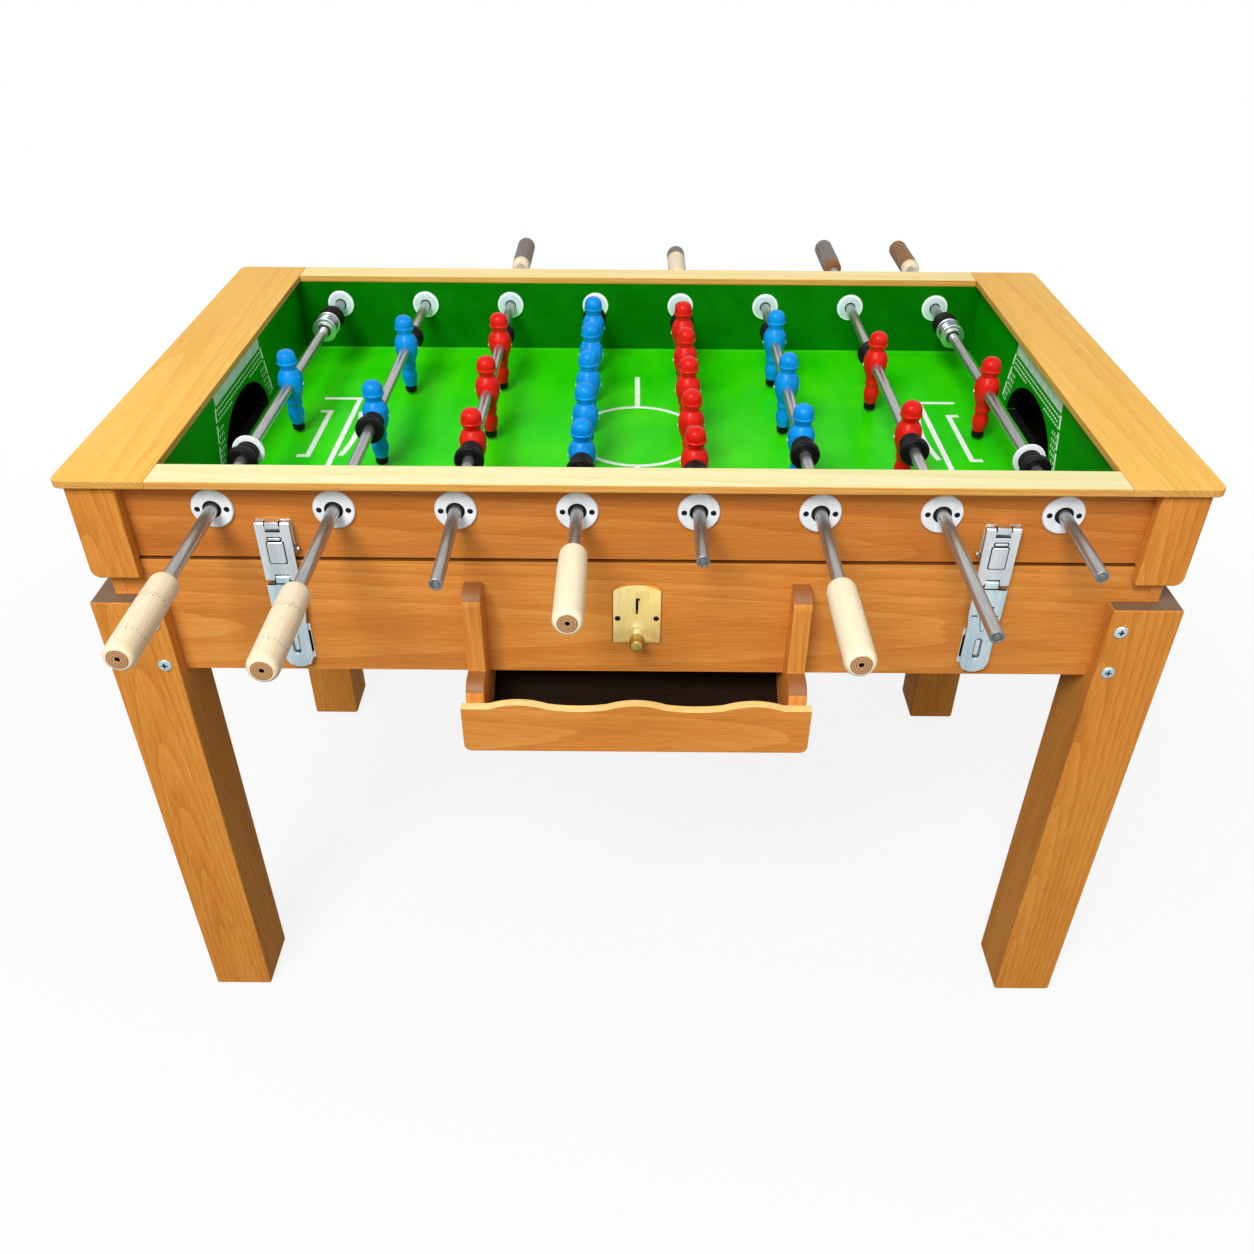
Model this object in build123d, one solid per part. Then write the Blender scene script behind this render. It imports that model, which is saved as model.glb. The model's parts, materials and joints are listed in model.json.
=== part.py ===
from build123d import *
import os
from math import cos, dist, pi, sin, sqrt

# Coin-operated foosball table, all sizes in millimetres.
# +X runs along the table from the blue goal to the red goal, -Y faces the player in front, +Z is up.
# The origin is on the floor, under the middle of the table.

# Overall size
TABLE_LENGTH = 1400.0
TABLE_DEPTH = 816.0
TABLE_HEIGHT = 940.0

# Top boards round the playing well
TOP_THICKNESS = 10.0
END_BOARD_WIDTH = 113.0
RAIL_WIDTH = 48.0
TOP_CORNER_RADIUS = 14.0

# Levels measured down from the top of the table
ROD_DROP = 48.0
SPLIT_DROP = 120.0
FIELD_DROP = 126.0
LEG_TOP_DROP = 172.0
BASE_BOTTOM_DROP = 292.0

# Upper box
PANEL_THICKNESS = 22.0
END_PANEL_THICKNESS = 18.0
END_PANEL_INSET = 30.0
TONGUE_THICKNESS = 10.0
FIELD_THICKNESS = 12.0
FIELD_GROOVE = 5.0
FIELD_LIP = 8.0
GOAL_WALL_SETBACK = 10.0
GOAL_WALL_THICKNESS = 16.0
GOAL_WIDTH = 220.0
GOAL_HEIGHT = 68.0
LID_GAP = 0.4

# Corner posts of the upper box
POST_WIDTH = 60.0
POST_THICKNESS = 18.0
POST_OVERLAP = 20.0
POST_CORNER_RADIUS = 12.0

# Lower box
BASE_PROUD = 3.0
BASE_PANEL_THICKNESS = 14.0
BASE_END_THICKNESS = 16.0
BOX_CLEARANCE = 1.0

# Legs and their bolts
LEG_WIDTH = 90.0
LEG_DEPTH = 94.0
LEG_END_INSET = 2.0
LEG_FOOT_CHAMFER = 4.0
BOLT_HEAD_RADIUS = 9.0
BOLT_HEAD_HEIGHT = 3.0
BOLT_SHANK_RADIUS = 4.0
BOLT_FROM_LEG_EDGE = 17.0
BOLT_DROPS = (205.0, 270.0)

# Flat sides of the turned pieces that repeat, and of the necks that may not turn in their holes
TURNED_SIDES = 12
NECK_SIDES = 6

# Rods
GOALIE_ROD_SETBACK = 65.5
ROD_RADIUS = 8.0
RUNNING_CLEARANCE = 0.05
SEAT_CLEARANCE = 0.02
BUSH_FLANGE_RADIUS = 26.0
BUSH_FLANGE_THICKNESS = 4.0
BUSH_NECK_RADIUS = 12.0

# Handles
HANDLE_RADIUS = 17.0
HANDLE_LENGTH = 144.0
HANDLE_ROUNDING = 5.0
HANDLE_SOCKET = 118.0

# Men, heights measured from the rod's axis
MAN_FOOT_RADIUS = 9.0
MAN_FOOT_LEVEL = -73.0
MAN_CALF_RADIUS = 12.0
MAN_CALF_LEVEL = -47.0
MAN_KNEE_RADIUS = 10.5
MAN_KNEE_LEVEL = -35.0
MAN_TORSO_RADIUS = 18.5
MAN_TORSO_LEVEL = 3.0
MAN_NECK_RADIUS = 11.0
MAN_NECK_LEVEL = 24.0
MAN_BRIM_RADIUS = 14.5
MAN_BRIM_LEVEL = 34.0
MAN_CROWN_RADIUS = 9.0
MAN_CROWN_LEVEL = 52.0

# Rubber bumpers
BUMPER_SLEEVE_RADIUS = 15.5
BUMPER_FLARE_RADIUS = 20.0
BUMPER_SLEEVE_LENGTH = 20.0
BUMPER_FLARE_RISE = 4.0
BUMPER_FLARE_LENGTH = 10.0
BUMPER_GAP = 0.3

# Goalkeeper stops: washers and a coil spring beside the bumpers
GOALIE_FRONT_STOP = 226.0
GOALIE_REAR_STOP = 222.0
WASHER_RADIUS = 21.5
WASHER_THICKNESS = 4.0
SPRING_RADIUS = 15.0
SPRING_WIRE = 3.0
SPRING_TURNS = 3.0
SPRING_LENGTH = 26.0
SPRING_SEAT_GAP = 0.3

# Spacing of the men on each kind of rod
TWO_MEN_SPACING = 262.0
THREE_MEN_SPACING = 184.0
FIVE_MEN_SPACING = 120.0

# Rods from left to right: men, side of the handle (-1 front, +1 rear), place of the middle man,
# way from the panel to the handle, and from the other panel to the bare end
MEN_COUNTS = (1, 2, 3, 5, 5, 3, 2, 1)
HANDLE_SIDES = (-1, -1, 1, -1, 1, -1, 1, 1)
MIDDLE_MEN = (4.0, 22.0, -16.0, 8.0, -12.0, 6.0, -34.0, -4.0)
HANDLE_GAPS = (170.0, 187.0, 186.0, 101.0, 138.0, 170.0, 187.0, 186.0)
BARE_REACHES = (145.0, 150.0, 171.0, 116.0, 118.0, 145.0, 264.0, 145.0)

# Ball tray under the front panel
TRAY_HALF_WIDTH = 222.0
TRAY_LAP = 6.0
TRAY_FRONT_REACH = 70.0
TRAY_BACK_REACH = 130.0
TRAY_BOTTOM_DROP = 364.0
TRAY_BOARD_THICKNESS = 13.0
TRAY_FLOOR_THICKNESS = 12.0
TRAY_TOP_DROP = 292.5
TRAY_CREST = 7.0
TRAY_DIP = 3.0
TRAY_HALF_WAVES = 5
TRAY_FLAT_END = 36.0
TRAY_CORNER = 9.0
BRACKET_THICKNESS = 24.0
BRACKET_TOP_DROP = 150.0
BRACKET_ARM_REACH = 34.0
BRACKET_SHOULDER_DROP = 268.0
BRACKET_ROUNDING = 22.0

# Sloping boards inside the lower box
RAMP_THICKNESS = 8.0
RAMP_HIGH_DROP = 248.0
RAMP_LOW_DROP = 279.0

# Coin plate and its mechanism
COIN_PLATE_WIDTH = 62.0
COIN_PLATE_HEIGHT = 89.0
COIN_PLATE_ARCH = 9.0
COIN_PLATE_TOP_DROP = 154.0
COIN_PLATE_THICKNESS = 4.0
COIN_RECESS_DEPTH = 2.0
COIN_RECESS_GAP = 1.5
COIN_RECESS_CORNER = 9.0
COIN_SLOT_WIDTH = 3.2
COIN_SLOT_LENGTH = 26.0
COIN_SLOT_BELOW_TOP = 32.0
PLUNGER_BELOW_TOP = 71.0
PLUNGER_RADIUS = 7.0
PLUNGER_KNOB_RADIUS = 10.0
PLUNGER_REACH = 36.0
PLUNGER_INSIDE = 40.0
PLUNGER_TRAVEL = 14.0
PLUNGER_SPARE = 3.0
MECHANISM_WIDTH = 50.0
MECHANISM_DEPTH = 58.0
MECHANISM_ABOVE = 45.0
MECHANISM_BELOW = 20.0

# Hasps that hold the lid shut
HASP_FROM_END = 250.0
HASP_WIDTH = 43.0
HASP_TOP_DROP = 66.0
HASP_MID_DROP = 143.0
HASP_BOTTOM_DROP = 281.0
HASP_SHEET = 2.5
HASP_KNUCKLE_RADIUS = 4.5
HASP_PIN_RADIUS = 2.5
HASP_LUG_WIDTH = 12.5
HASP_GAP = 0.4
HASP_PLATE_HEIGHT = 44.0
HASP_TONGUE_WIDTH = 38.0
HASP_STEP_DROP = 189.0
HASP_TAPER = 20.0
HASP_TIP_ROUNDING = 15.0
HASP_SLOT_WIDTH = 10.0
HASP_SLOT_LENGTH = 32.0
HASP_SLOT_DROP = 243.0
HASP_SLOT_CUT = 3.0
STAPLE_PLATE_WIDTH = 42.0
STAPLE_PLATE_HEIGHT = 54.0
STAPLE_EYE_WIDTH = 6.0
STAPLE_EYE_LENGTH = 24.0

# Rear hinges of the lid
HINGE_FROM_END = 260.0
HINGE_LENGTH = 90.0
HINGE_LEAF_HEIGHT = 40.0
HINGE_LEAF_THICKNESS = 2.5
HINGE_KNUCKLE_RADIUS = 4.5
HINGE_PIN_RADIUS = 2.5
HINGE_GAP = 0.4

# Levels and faces that follow from the sizes above
TOP_UNDER_Z = TABLE_HEIGHT - TOP_THICKNESS
ROD_Z = TABLE_HEIGHT - ROD_DROP
SPLIT_Z = TABLE_HEIGHT - SPLIT_DROP
LID_BOTTOM_Z = SPLIT_Z + LID_GAP
FIELD_Z = TABLE_HEIGHT - FIELD_DROP
BASE_BOTTOM_Z = TABLE_HEIGHT - BASE_BOTTOM_DROP
LEG_TOP_Z = TABLE_HEIGHT - LEG_TOP_DROP
WELL_Y = TABLE_DEPTH / 2 - RAIL_WIDTH
PANEL_Y = WELL_Y + PANEL_THICKNESS
WELL_X = TABLE_LENGTH / 2 - END_BOARD_WIDTH
GOAL_X = WELL_X + GOAL_WALL_SETBACK
GOAL_BACK_X = GOAL_X + GOAL_WALL_THICKNESS
PANEL_X = TABLE_LENGTH / 2 - END_PANEL_INSET
BASE_Y = PANEL_Y + BASE_PROUD
BASE_X = PANEL_X + BASE_PROUD
BASE_INNER_Y = BASE_Y - BASE_PANEL_THICKNESS
BASE_INNER_X = BASE_X - BASE_END_THICKNESS
LEG_FRONT_Y = TABLE_DEPTH / 2
LEG_OUTER_X = TABLE_LENGTH / 2 - LEG_END_INSET
HASP_X = TABLE_LENGTH / 2 - HASP_FROM_END
HINGE_X = TABLE_LENGTH / 2 - HINGE_FROM_END
ROD_PITCH = 2 * (WELL_X - GOALIE_ROD_SETBACK) / (len(MEN_COUNTS) - 1)
MAN_SPACING = {1: 0.0, 2: TWO_MEN_SPACING, 3: THREE_MEN_SPACING, 5: FIVE_MEN_SPACING}
BUMPER_LENGTH = BUMPER_SLEEVE_LENGTH + BUMPER_FLARE_RISE + BUMPER_FLARE_LENGTH
PLUNGER_KNOB_LENGTH = PLUNGER_REACH - PLUNGER_TRAVEL - PLUNGER_SPARE


def block(x0, x1, y0, y1, z0, z1):
    """A box between two opposite corners."""
    return Pos((x0 + x1) / 2, (y0 + y1) / 2, (z0 + z1) / 2) * Box(x1 - x0, y1 - y0, z1 - z0)


def prism_x(points, x0, x1):
    """A solid with a (y, z) outline, from x0 to x1."""
    outline = Polyline(*[(x0, y, z) for y, z in points], close=True)
    return extrude(make_face(outline), x1 - x0, dir=(1, 0, 0))


def prism_y(points, y0, y1):
    """A solid with an (x, z) outline, from y0 to y1."""
    outline = Polyline(*[(x, y0, z) for x, z in points], close=True)
    return extrude(make_face(outline), y1 - y0, dir=(0, 1, 0))


def turned(stations):
    """A turned body about Z with flat sides, through (radius, height) stations from the bottom up."""
    turns = [2 * pi * k / TURNED_SIDES for k in range(TURNED_SIDES)]
    rings = [[(r * cos(a), r * sin(a), h) for a in turns] for r, h in stations]
    outlines = [rings[0], rings[-1]]
    for low, high in zip(rings, rings[1:]):
        outlines += [(low[k - 1], low[k], high[k], high[k - 1]) for k in range(TURNED_SIDES)]
    return Solid(Shell([make_face(Polyline(*points, close=True)).face() for points in outlines]))


def bar(radius, z0, z1, sides=TURNED_SIDES):
    """A straight bar about Z with flat sides that stay inside the radius."""
    return Pos(0, 0, z0) * extrude(RegularPolygon(radius, sides), z1 - z0)


def hole(radius, z0, z1, sides=TURNED_SIDES):
    """A straight hole about Z with flat sides that stay outside the radius."""
    return Pos(0, 0, z0) * extrude(RegularPolygon(radius, sides, major_radius=False), z1 - z0)


def along_y(solid, x, y, z, side=1):
    """A solid made about Z, laid along +Y, or along -Y with side -1."""
    return Pos(x, y, z) * Rot(-90 * side, 0, 0) * solid


def along_x(solid, y, z):
    """A solid made about Z, laid along +X."""
    return Pos(0, y, z) * Rot(0, 90, 0) * solid


def left_and_right(solid):
    """The solid and its mirror image across the table's middle."""
    return [mirror(solid, about=Plane.YZ), solid]


def front_and_back(solid):
    """The solid and its mirror image behind the rods' middle."""
    return [solid, mirror(solid, about=Plane.XZ)]


def save(name, solids):
    """Write one sub-part to its own STEP file."""
    pieces = [s for shape in solids for s in shape.solids()]
    shape = pieces[0] if len(pieces) == 1 else Compound(children=pieces)
    shape.label = name
    export_step(shape, os.path.join("parts", name + ".step"))


def rod_x(index):
    """Place of a rod along the table."""
    return (index - (len(MEN_COUNTS) - 1) / 2) * ROD_PITCH


def men_places(count, middle):
    """Places of the men along their rod."""
    return [middle + (i - (count - 1) / 2) * MAN_SPACING[count] for i in range(count)]


# Upper box

def side_panel():
    """Front panel of the upper box: holes for the rod bushes and a tongue that holds the playfield."""
    field_under = FIELD_Z - FIELD_THICKNESS
    tongue_y = WELL_Y + TONGUE_THICKNESS
    outline = (
        (-PANEL_Y, TOP_UNDER_Z),
        (-PANEL_Y, LID_BOTTOM_Z),
        (-tongue_y, LID_BOTTOM_Z),
        (-tongue_y, field_under - FIELD_LIP),
        (-WELL_Y, field_under - FIELD_LIP),
        (-WELL_Y, field_under),
        (-WELL_Y - FIELD_GROOVE, field_under),
        (-WELL_Y - FIELD_GROOVE, FIELD_Z),
        (-WELL_Y, FIELD_Z),
        (-WELL_Y, TOP_UNDER_Z),
    )
    panel = prism_x(outline, -GOAL_BACK_X, GOAL_BACK_X)
    for side in (-1, 1):
        x0, x1 = sorted((side * GOAL_BACK_X, side * PANEL_X))
        panel += block(x0, x1, -PANEL_Y, -WELL_Y, LID_BOTTOM_Z, TOP_UNDER_Z)
    neck = hole(BUSH_NECK_RADIUS, -PANEL_Y, -WELL_Y, NECK_SIDES)
    return panel - [along_y(neck, rod_x(i), 0, ROD_Z) for i in range(len(MEN_COUNTS))]


def end_panel():
    """Right end panel of the upper box."""
    return block(PANEL_X - END_PANEL_THICKNESS, PANEL_X, -WELL_Y, WELL_Y, LID_BOTTOM_Z, TOP_UNDER_Z)


def goal_wall():
    """Right end wall of the playing well, with its arched goal."""
    wall = block(GOAL_X, GOAL_BACK_X, -WELL_Y, WELL_Y, FIELD_Z, TOP_UNDER_Z)
    arch = EllipticalCenterArc((0, 0), GOAL_WIDTH / 2, GOAL_HEIGHT, 0, arc_size=180)
    mouth = make_face(arch + Line(arch @ 1, arch @ 0))
    cutter = extrude(Plane.YZ.offset(GOAL_X) * mouth, GOAL_WALL_THICKNESS)
    return wall - Pos(0, 0, FIELD_Z) * cutter


def playfield():
    """Field board, seated in the grooves of the side panels."""
    half = WELL_Y + FIELD_GROOVE
    return block(-GOAL_BACK_X, GOAL_BACK_X, -half, half, FIELD_Z - FIELD_THICKNESS, FIELD_Z)


def top_rail():
    """Front rail of the top, between the end boards."""
    return block(-WELL_X, WELL_X, -TABLE_DEPTH / 2, -WELL_Y, TOP_UNDER_Z, TABLE_HEIGHT)


def top_end_board():
    """Right end board of the top, with rounded outer corners."""
    half = TABLE_DEPTH / 2
    board = block(WELL_X, TABLE_LENGTH / 2, -half, half, TOP_UNDER_Z, TABLE_HEIGHT)
    corners = board.edges().filter_by(Axis.Z).group_by(Axis.X)[-1]
    return fillet(corners, TOP_CORNER_RADIUS)


def corner_post(bottom_z):
    """Front right corner post: wraps the corner of the upper box and clears the lower one."""
    outer_x = PANEL_X + POST_THICKNESS
    outer_y = PANEL_Y + POST_THICKNESS
    post = block(outer_x - POST_WIDTH, outer_x, -outer_y, -outer_y + POST_WIDTH, bottom_z, TOP_UNDER_Z)
    post -= block(0, PANEL_X, -PANEL_Y, 0, bottom_z, TOP_UNDER_Z)
    if bottom_z < SPLIT_Z:
        clear_x = BASE_X + BOX_CLEARANCE
        clear_y = BASE_Y + BOX_CLEARANCE
        post -= block(0, clear_x, -clear_y, 0, bottom_z, LID_BOTTOM_Z)
        low_corner = post.edges().filter_by(Axis.Y).group_by(Axis.Z)[0].sort_by(Axis.X)[-1]
        post = fillet(low_corner, POST_CORNER_RADIUS)
    return post


def rod_bushes():
    """Rod bushes, front and back: two flanges and a neck through the panel, bored for the rod."""
    outer = -PANEL_Y - BUSH_FLANGE_THICKNESS
    inner = -WELL_Y + BUSH_FLANGE_THICKNESS
    bush = bar(BUSH_FLANGE_RADIUS, outer, -PANEL_Y) + bar(BUSH_FLANGE_RADIUS, -WELL_Y, inner)
    bush += hole(BUSH_NECK_RADIUS, -PANEL_Y, -WELL_Y, NECK_SIDES)
    bush -= hole(ROD_RADIUS + RUNNING_CLEARANCE, outer, inner)
    return [along_y(bush, rod_x(i), 0, ROD_Z, side) for i in range(len(MEN_COUNTS)) for side in (1, -1)]


# Rods

def rod_bar(x, side, handle_gap, bare_reach):
    """Round steel rod, from its bare end into the socket of its handle."""
    length = 2 * PANEL_Y + bare_reach + handle_gap + HANDLE_SOCKET
    rod = Cylinder(ROD_RADIUS, length, align=(Align.CENTER, Align.CENTER, Align.MIN))
    return along_y(rod, x, -side * (PANEL_Y + bare_reach), ROD_Z, side)


def handle(x, side, handle_gap):
    """Turned wooden handle with rounded ends and a blind socket for the rod."""
    shape = turned((
        (HANDLE_RADIUS - HANDLE_ROUNDING, 0),
        (HANDLE_RADIUS, HANDLE_ROUNDING),
        (HANDLE_RADIUS, HANDLE_LENGTH - HANDLE_ROUNDING),
        (HANDLE_RADIUS - HANDLE_ROUNDING, HANDLE_LENGTH),
    ))
    shape -= hole(ROD_RADIUS + SEAT_CLEARANCE, 0, HANDLE_SOCKET)
    return along_y(shape, x, side * (PANEL_Y + handle_gap), ROD_Z, side)


def man():
    """One man, turned about the vertical and bored for the rod."""
    body = turned((
        (MAN_FOOT_RADIUS, MAN_FOOT_LEVEL),
        (MAN_CALF_RADIUS, MAN_CALF_LEVEL),
        (MAN_KNEE_RADIUS, MAN_KNEE_LEVEL),
        (MAN_TORSO_RADIUS, MAN_TORSO_LEVEL),
        (MAN_NECK_RADIUS, MAN_NECK_LEVEL),
        (MAN_BRIM_RADIUS, MAN_BRIM_LEVEL),
        (MAN_CROWN_RADIUS, MAN_CROWN_LEVEL),
    ))
    reach = MAN_TORSO_RADIUS + BUMPER_GAP
    return body - along_y(hole(ROD_RADIUS + SEAT_CLEARANCE, -reach, reach), 0, 0, 0)


def bumper():
    """Rubber bumper about Z, from its inner end to its flared outer end."""
    flare = BUMPER_SLEEVE_LENGTH + BUMPER_FLARE_RISE
    body = turned((
        (BUMPER_SLEEVE_RADIUS, 0),
        (BUMPER_SLEEVE_RADIUS, BUMPER_SLEEVE_LENGTH),
        (BUMPER_FLARE_RADIUS, flare),
        (BUMPER_FLARE_RADIUS, BUMPER_LENGTH),
    ))
    return body - hole(ROD_RADIUS + RUNNING_CLEARANCE, 0, BUMPER_LENGTH)


def washer():
    """Washer beside a bumper, about Z."""
    bore = hole(ROD_RADIUS + RUNNING_CLEARANCE, 0, WASHER_THICKNESS)
    return bar(WASHER_RADIUS, 0, WASHER_THICKNESS) - bore


def biarc(start, start_way, end, end_way):
    """Two arcs that meet smoothly, from one point and direction to another."""
    gap = end - start
    along = gap.dot(start_way + end_way)
    bend = 2 * (1 - start_way.dot(end_way))
    reach = (sqrt(along * along + bend * gap.dot(gap)) - along) / bend
    first = start + start_way * reach
    second = end - end_way * reach
    middle = (first + second) * 0.5
    return [TangentArc(start, middle, tangent=start_way),
            TangentArc(middle, end, tangent=second - first)]


def spring_rise():
    """Rise of the spring in one turn, which leaves a small gap at each washer."""
    return (SPRING_LENGTH - SPRING_WIRE - 2 * SPRING_SEAT_GAP) / SPRING_TURNS


def spring_point(turn):
    """Point on the middle line of the spring's wire after so many turns."""
    angle = 2 * pi * turn
    height = SPRING_SEAT_GAP + SPRING_WIRE / 2 + spring_rise() * turn
    return Vector(SPRING_RADIUS * cos(angle), SPRING_RADIUS * sin(angle), height)


def spring_way(turn):
    """Direction of the spring's wire after so many turns."""
    angle = 2 * pi * turn
    round_way = Vector(-sin(angle), cos(angle), 0) * (2 * pi * SPRING_RADIUS)
    return (round_way + Vector(0, 0, spring_rise())).normalized()


def spring():
    """Coil spring of square wire about Z, swept along biarcs of a quarter turn."""
    quarters = [i / 4 for i in range(round(4 * SPRING_TURNS) + 1)]
    arcs = []
    for a, b in zip(quarters, quarters[1:]):
        arcs += biarc(spring_point(a), spring_way(a), spring_point(b), spring_way(b))
    start = Plane(spring_point(0), x_dir=(1, 0, 0), z_dir=spring_way(0))
    return sweep(start * Rectangle(SPRING_WIRE, SPRING_WIRE), path=Wire(arcs))


def spring_gap():
    """Least gap between neighbouring turns, measured on points along the wire."""
    steps = 24
    points = [tuple(spring_point(i / steps)) for i in range(round(SPRING_TURNS * steps) + 1)]
    apart = [dist(p, q) for i, p in enumerate(points) for q in points[i + steps // 2:]]
    return min(apart) - SPRING_WIRE


def bumpers(x, count, middle):
    """Bumpers of a rod: outside its outer men, or at the goalkeeper's stops."""
    places = men_places(count, middle)
    front = places[0] - MAN_TORSO_RADIUS - BUMPER_GAP
    rear = places[-1] + MAN_TORSO_RADIUS + BUMPER_GAP
    if count == 1:
        front = middle - GOALIE_FRONT_STOP - WASHER_THICKNESS
        rear = middle + GOALIE_REAR_STOP + 2 * WASHER_THICKNESS + SPRING_LENGTH
    return [along_y(bumper(), x, front, ROD_Z, -1), along_y(bumper(), x, rear, ROD_Z)]


def goalie_spring_set(x, middle):
    """Washer of the front stop, and the spring between two washers at the rear stop."""
    rear = middle + GOALIE_REAR_STOP
    return [
        along_y(washer(), x, middle - GOALIE_FRONT_STOP, ROD_Z, -1),
        along_y(washer(), x, rear, ROD_Z),
        along_y(spring(), x, rear + WASHER_THICKNESS, ROD_Z),
        along_y(washer(), x, rear + WASHER_THICKNESS + SPRING_LENGTH, ROD_Z),
    ]


# Lower box, legs and ball tray

def base_front_panel():
    """Front panel of the lower box, with the recess and holes of the coin plate."""
    panel = block(-BASE_INNER_X, BASE_INNER_X, -BASE_Y, -BASE_INNER_Y, BASE_BOTTOM_Z, SPLIT_Z)
    panel -= coin_recess()
    plunger_hole = hole(PLUNGER_RADIUS + COIN_RECESS_GAP, -BASE_Y, -BASE_INNER_Y)
    panel -= along_y(plunger_hole, 0, 0, plunger_z())
    return panel - coin_slot(COIN_RECESS_GAP, -BASE_Y, -BASE_INNER_Y)


def base_back_panel():
    """Back panel of the lower box."""
    return block(-BASE_INNER_X, BASE_INNER_X, BASE_INNER_Y, BASE_Y, BASE_BOTTOM_Z, SPLIT_Z)


def base_end_panel():
    """Right end panel of the lower box."""
    return block(BASE_INNER_X, BASE_X, -BASE_Y, BASE_Y, BASE_BOTTOM_Z, SPLIT_Z)


def bolt_x():
    """Place of the leg bolts along the table."""
    return LEG_OUTER_X - LEG_WIDTH + BOLT_FROM_LEG_EDGE


def leg():
    """Front right leg, notched round the corner of the lower box and bored for its bolts."""
    post = block(LEG_OUTER_X - LEG_WIDTH, LEG_OUTER_X, -LEG_FRONT_Y, LEG_DEPTH - LEG_FRONT_Y, 0, LEG_TOP_Z)
    post = chamfer(post.faces().sort_by(Axis.Z)[0].edges(), LEG_FOOT_CHAMFER)
    post -= block(0, BASE_X, -BASE_Y, 0, BASE_BOTTOM_Z, LEG_TOP_Z)
    shank = hole(BOLT_SHANK_RADIUS, -LEG_FRONT_Y, -BASE_Y, NECK_SIDES)
    return post - [along_y(shank, bolt_x(), 0, TABLE_HEIGHT - drop) for drop in BOLT_DROPS]


def leg_bolts():
    """Bolts of the front right leg: a round head, and a neck as long as the leg's flange is thick."""
    bolt = bar(BOLT_HEAD_RADIUS, -LEG_FRONT_Y - BOLT_HEAD_HEIGHT, -LEG_FRONT_Y)
    bolt += hole(BOLT_SHANK_RADIUS, -LEG_FRONT_Y, -BASE_Y, NECK_SIDES)
    return [along_y(bolt, bolt_x(), 0, TABLE_HEIGHT - drop) for drop in BOLT_DROPS]


def tray_bracket():
    """Right side board of the tray: an arm up the front panel, a rounded shoulder and the tray's side."""
    face = -BASE_Y
    front = face - TRAY_FRONT_REACH
    arm = face - BRACKET_ARM_REACH
    back = face + TRAY_BACK_REACH
    top = TABLE_HEIGHT - BRACKET_TOP_DROP
    shoulder = TABLE_HEIGHT - BRACKET_SHOULDER_DROP
    bottom = TABLE_HEIGHT - TRAY_BOTTOM_DROP
    board = prism_x((
        (face, top),
        (arm, top),
        (arm, shoulder),
        (front, shoulder),
        (front, bottom),
        (back, bottom),
        (back, BASE_BOTTOM_Z),
        (face, BASE_BOTTOM_Z),
    ), TRAY_HALF_WIDTH - BRACKET_THICKNESS, TRAY_HALF_WIDTH)
    long_edges = board.edges().filter_by(Axis.X)
    arm_edge = long_edges.group_by(Axis.Z)[-1].sort_by(Axis.Y)[0]
    shoulder_edge = long_edges.group_by(Axis.Y)[0].sort_by(Axis.Z)[-1]
    return fillet([arm_edge, shoulder_edge], BRACKET_ROUNDING)


def tray_front():
    """Front board of the tray: flat ends, a wavy top edge between them and rounded bottom corners."""
    half = TRAY_HALF_WIDTH + TRAY_LAP
    top = TABLE_HEIGHT - TRAY_TOP_DROP
    bottom = TABLE_HEIGHT - TRAY_BOTTOM_DROP
    front = -BASE_Y - TRAY_FRONT_REACH - TRAY_BOARD_THICKNESS
    reach = half - TRAY_FLAT_END
    wave = 2 * reach / TRAY_HALF_WAVES
    shy = TRAY_CORNER * (1 - sqrt(0.5))
    right = (
        (reach, front, top),
        (half, front, top),
        (half, front, bottom + TRAY_CORNER),
        (half - shy, front, bottom + shy),
        (half - TRAY_CORNER, front, bottom),
    )
    edge = [Polyline(*right, *((-x, y, z) for x, y, z in reversed(right)))]
    for i in range(TRAY_HALF_WAVES):
        x = wave * i - reach
        swell = -TRAY_DIP if i % 2 else TRAY_CREST
        middle = (x + wave / 2, front, top + swell)
        edge.append(ThreePointArc((x, front, top), middle, (x + wave, front, top)))
    return extrude(make_face(edge), TRAY_BOARD_THICKNESS, dir=(0, 1, 0))


def tray_floor():
    """Floor of the tray and the ramp that leads to it from inside the lower box."""
    inner = TRAY_HALF_WIDTH - BRACKET_THICKNESS
    front = -BASE_Y - TRAY_FRONT_REACH
    back = -BASE_Y + TRAY_BACK_REACH
    bottom = TABLE_HEIGHT - TRAY_BOTTOM_DROP
    return prism_x((
        (front, bottom),
        (-BASE_INNER_Y, bottom),
        (back, BASE_BOTTOM_Z - TRAY_FLOOR_THICKNESS),
        (back, BASE_BOTTOM_Z),
        (-BASE_INNER_Y, bottom + TRAY_FLOOR_THICKNESS),
        (front, bottom + TRAY_FLOOR_THICKNESS),
    ), -inner, inner)


def ball_ramps():
    """Floor of the lower box: a wide board sloping forward, and two that slope towards the tray."""
    high = TABLE_HEIGHT - RAMP_HIGH_DROP
    low = TABLE_HEIGHT - RAMP_LOW_DROP
    mouth_y = -BASE_Y + TRAY_BACK_REACH
    inner = TRAY_HALF_WIDTH - BRACKET_THICKNESS
    wide = prism_x((
        (mouth_y, low),
        (BASE_INNER_Y, high),
        (BASE_INNER_Y, high - RAMP_THICKNESS),
        (mouth_y, low - RAMP_THICKNESS),
    ), -BASE_INNER_X, BASE_INNER_X)
    wing = prism_y((
        (inner, low - RAMP_THICKNESS),
        (BASE_INNER_X, low - RAMP_THICKNESS),
        (BASE_INNER_X, high),
        (inner, low),
    ), -BASE_INNER_Y, mouth_y)
    return [wide] + left_and_right(wing)


# Coin plate, its mechanism and plunger

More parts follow.
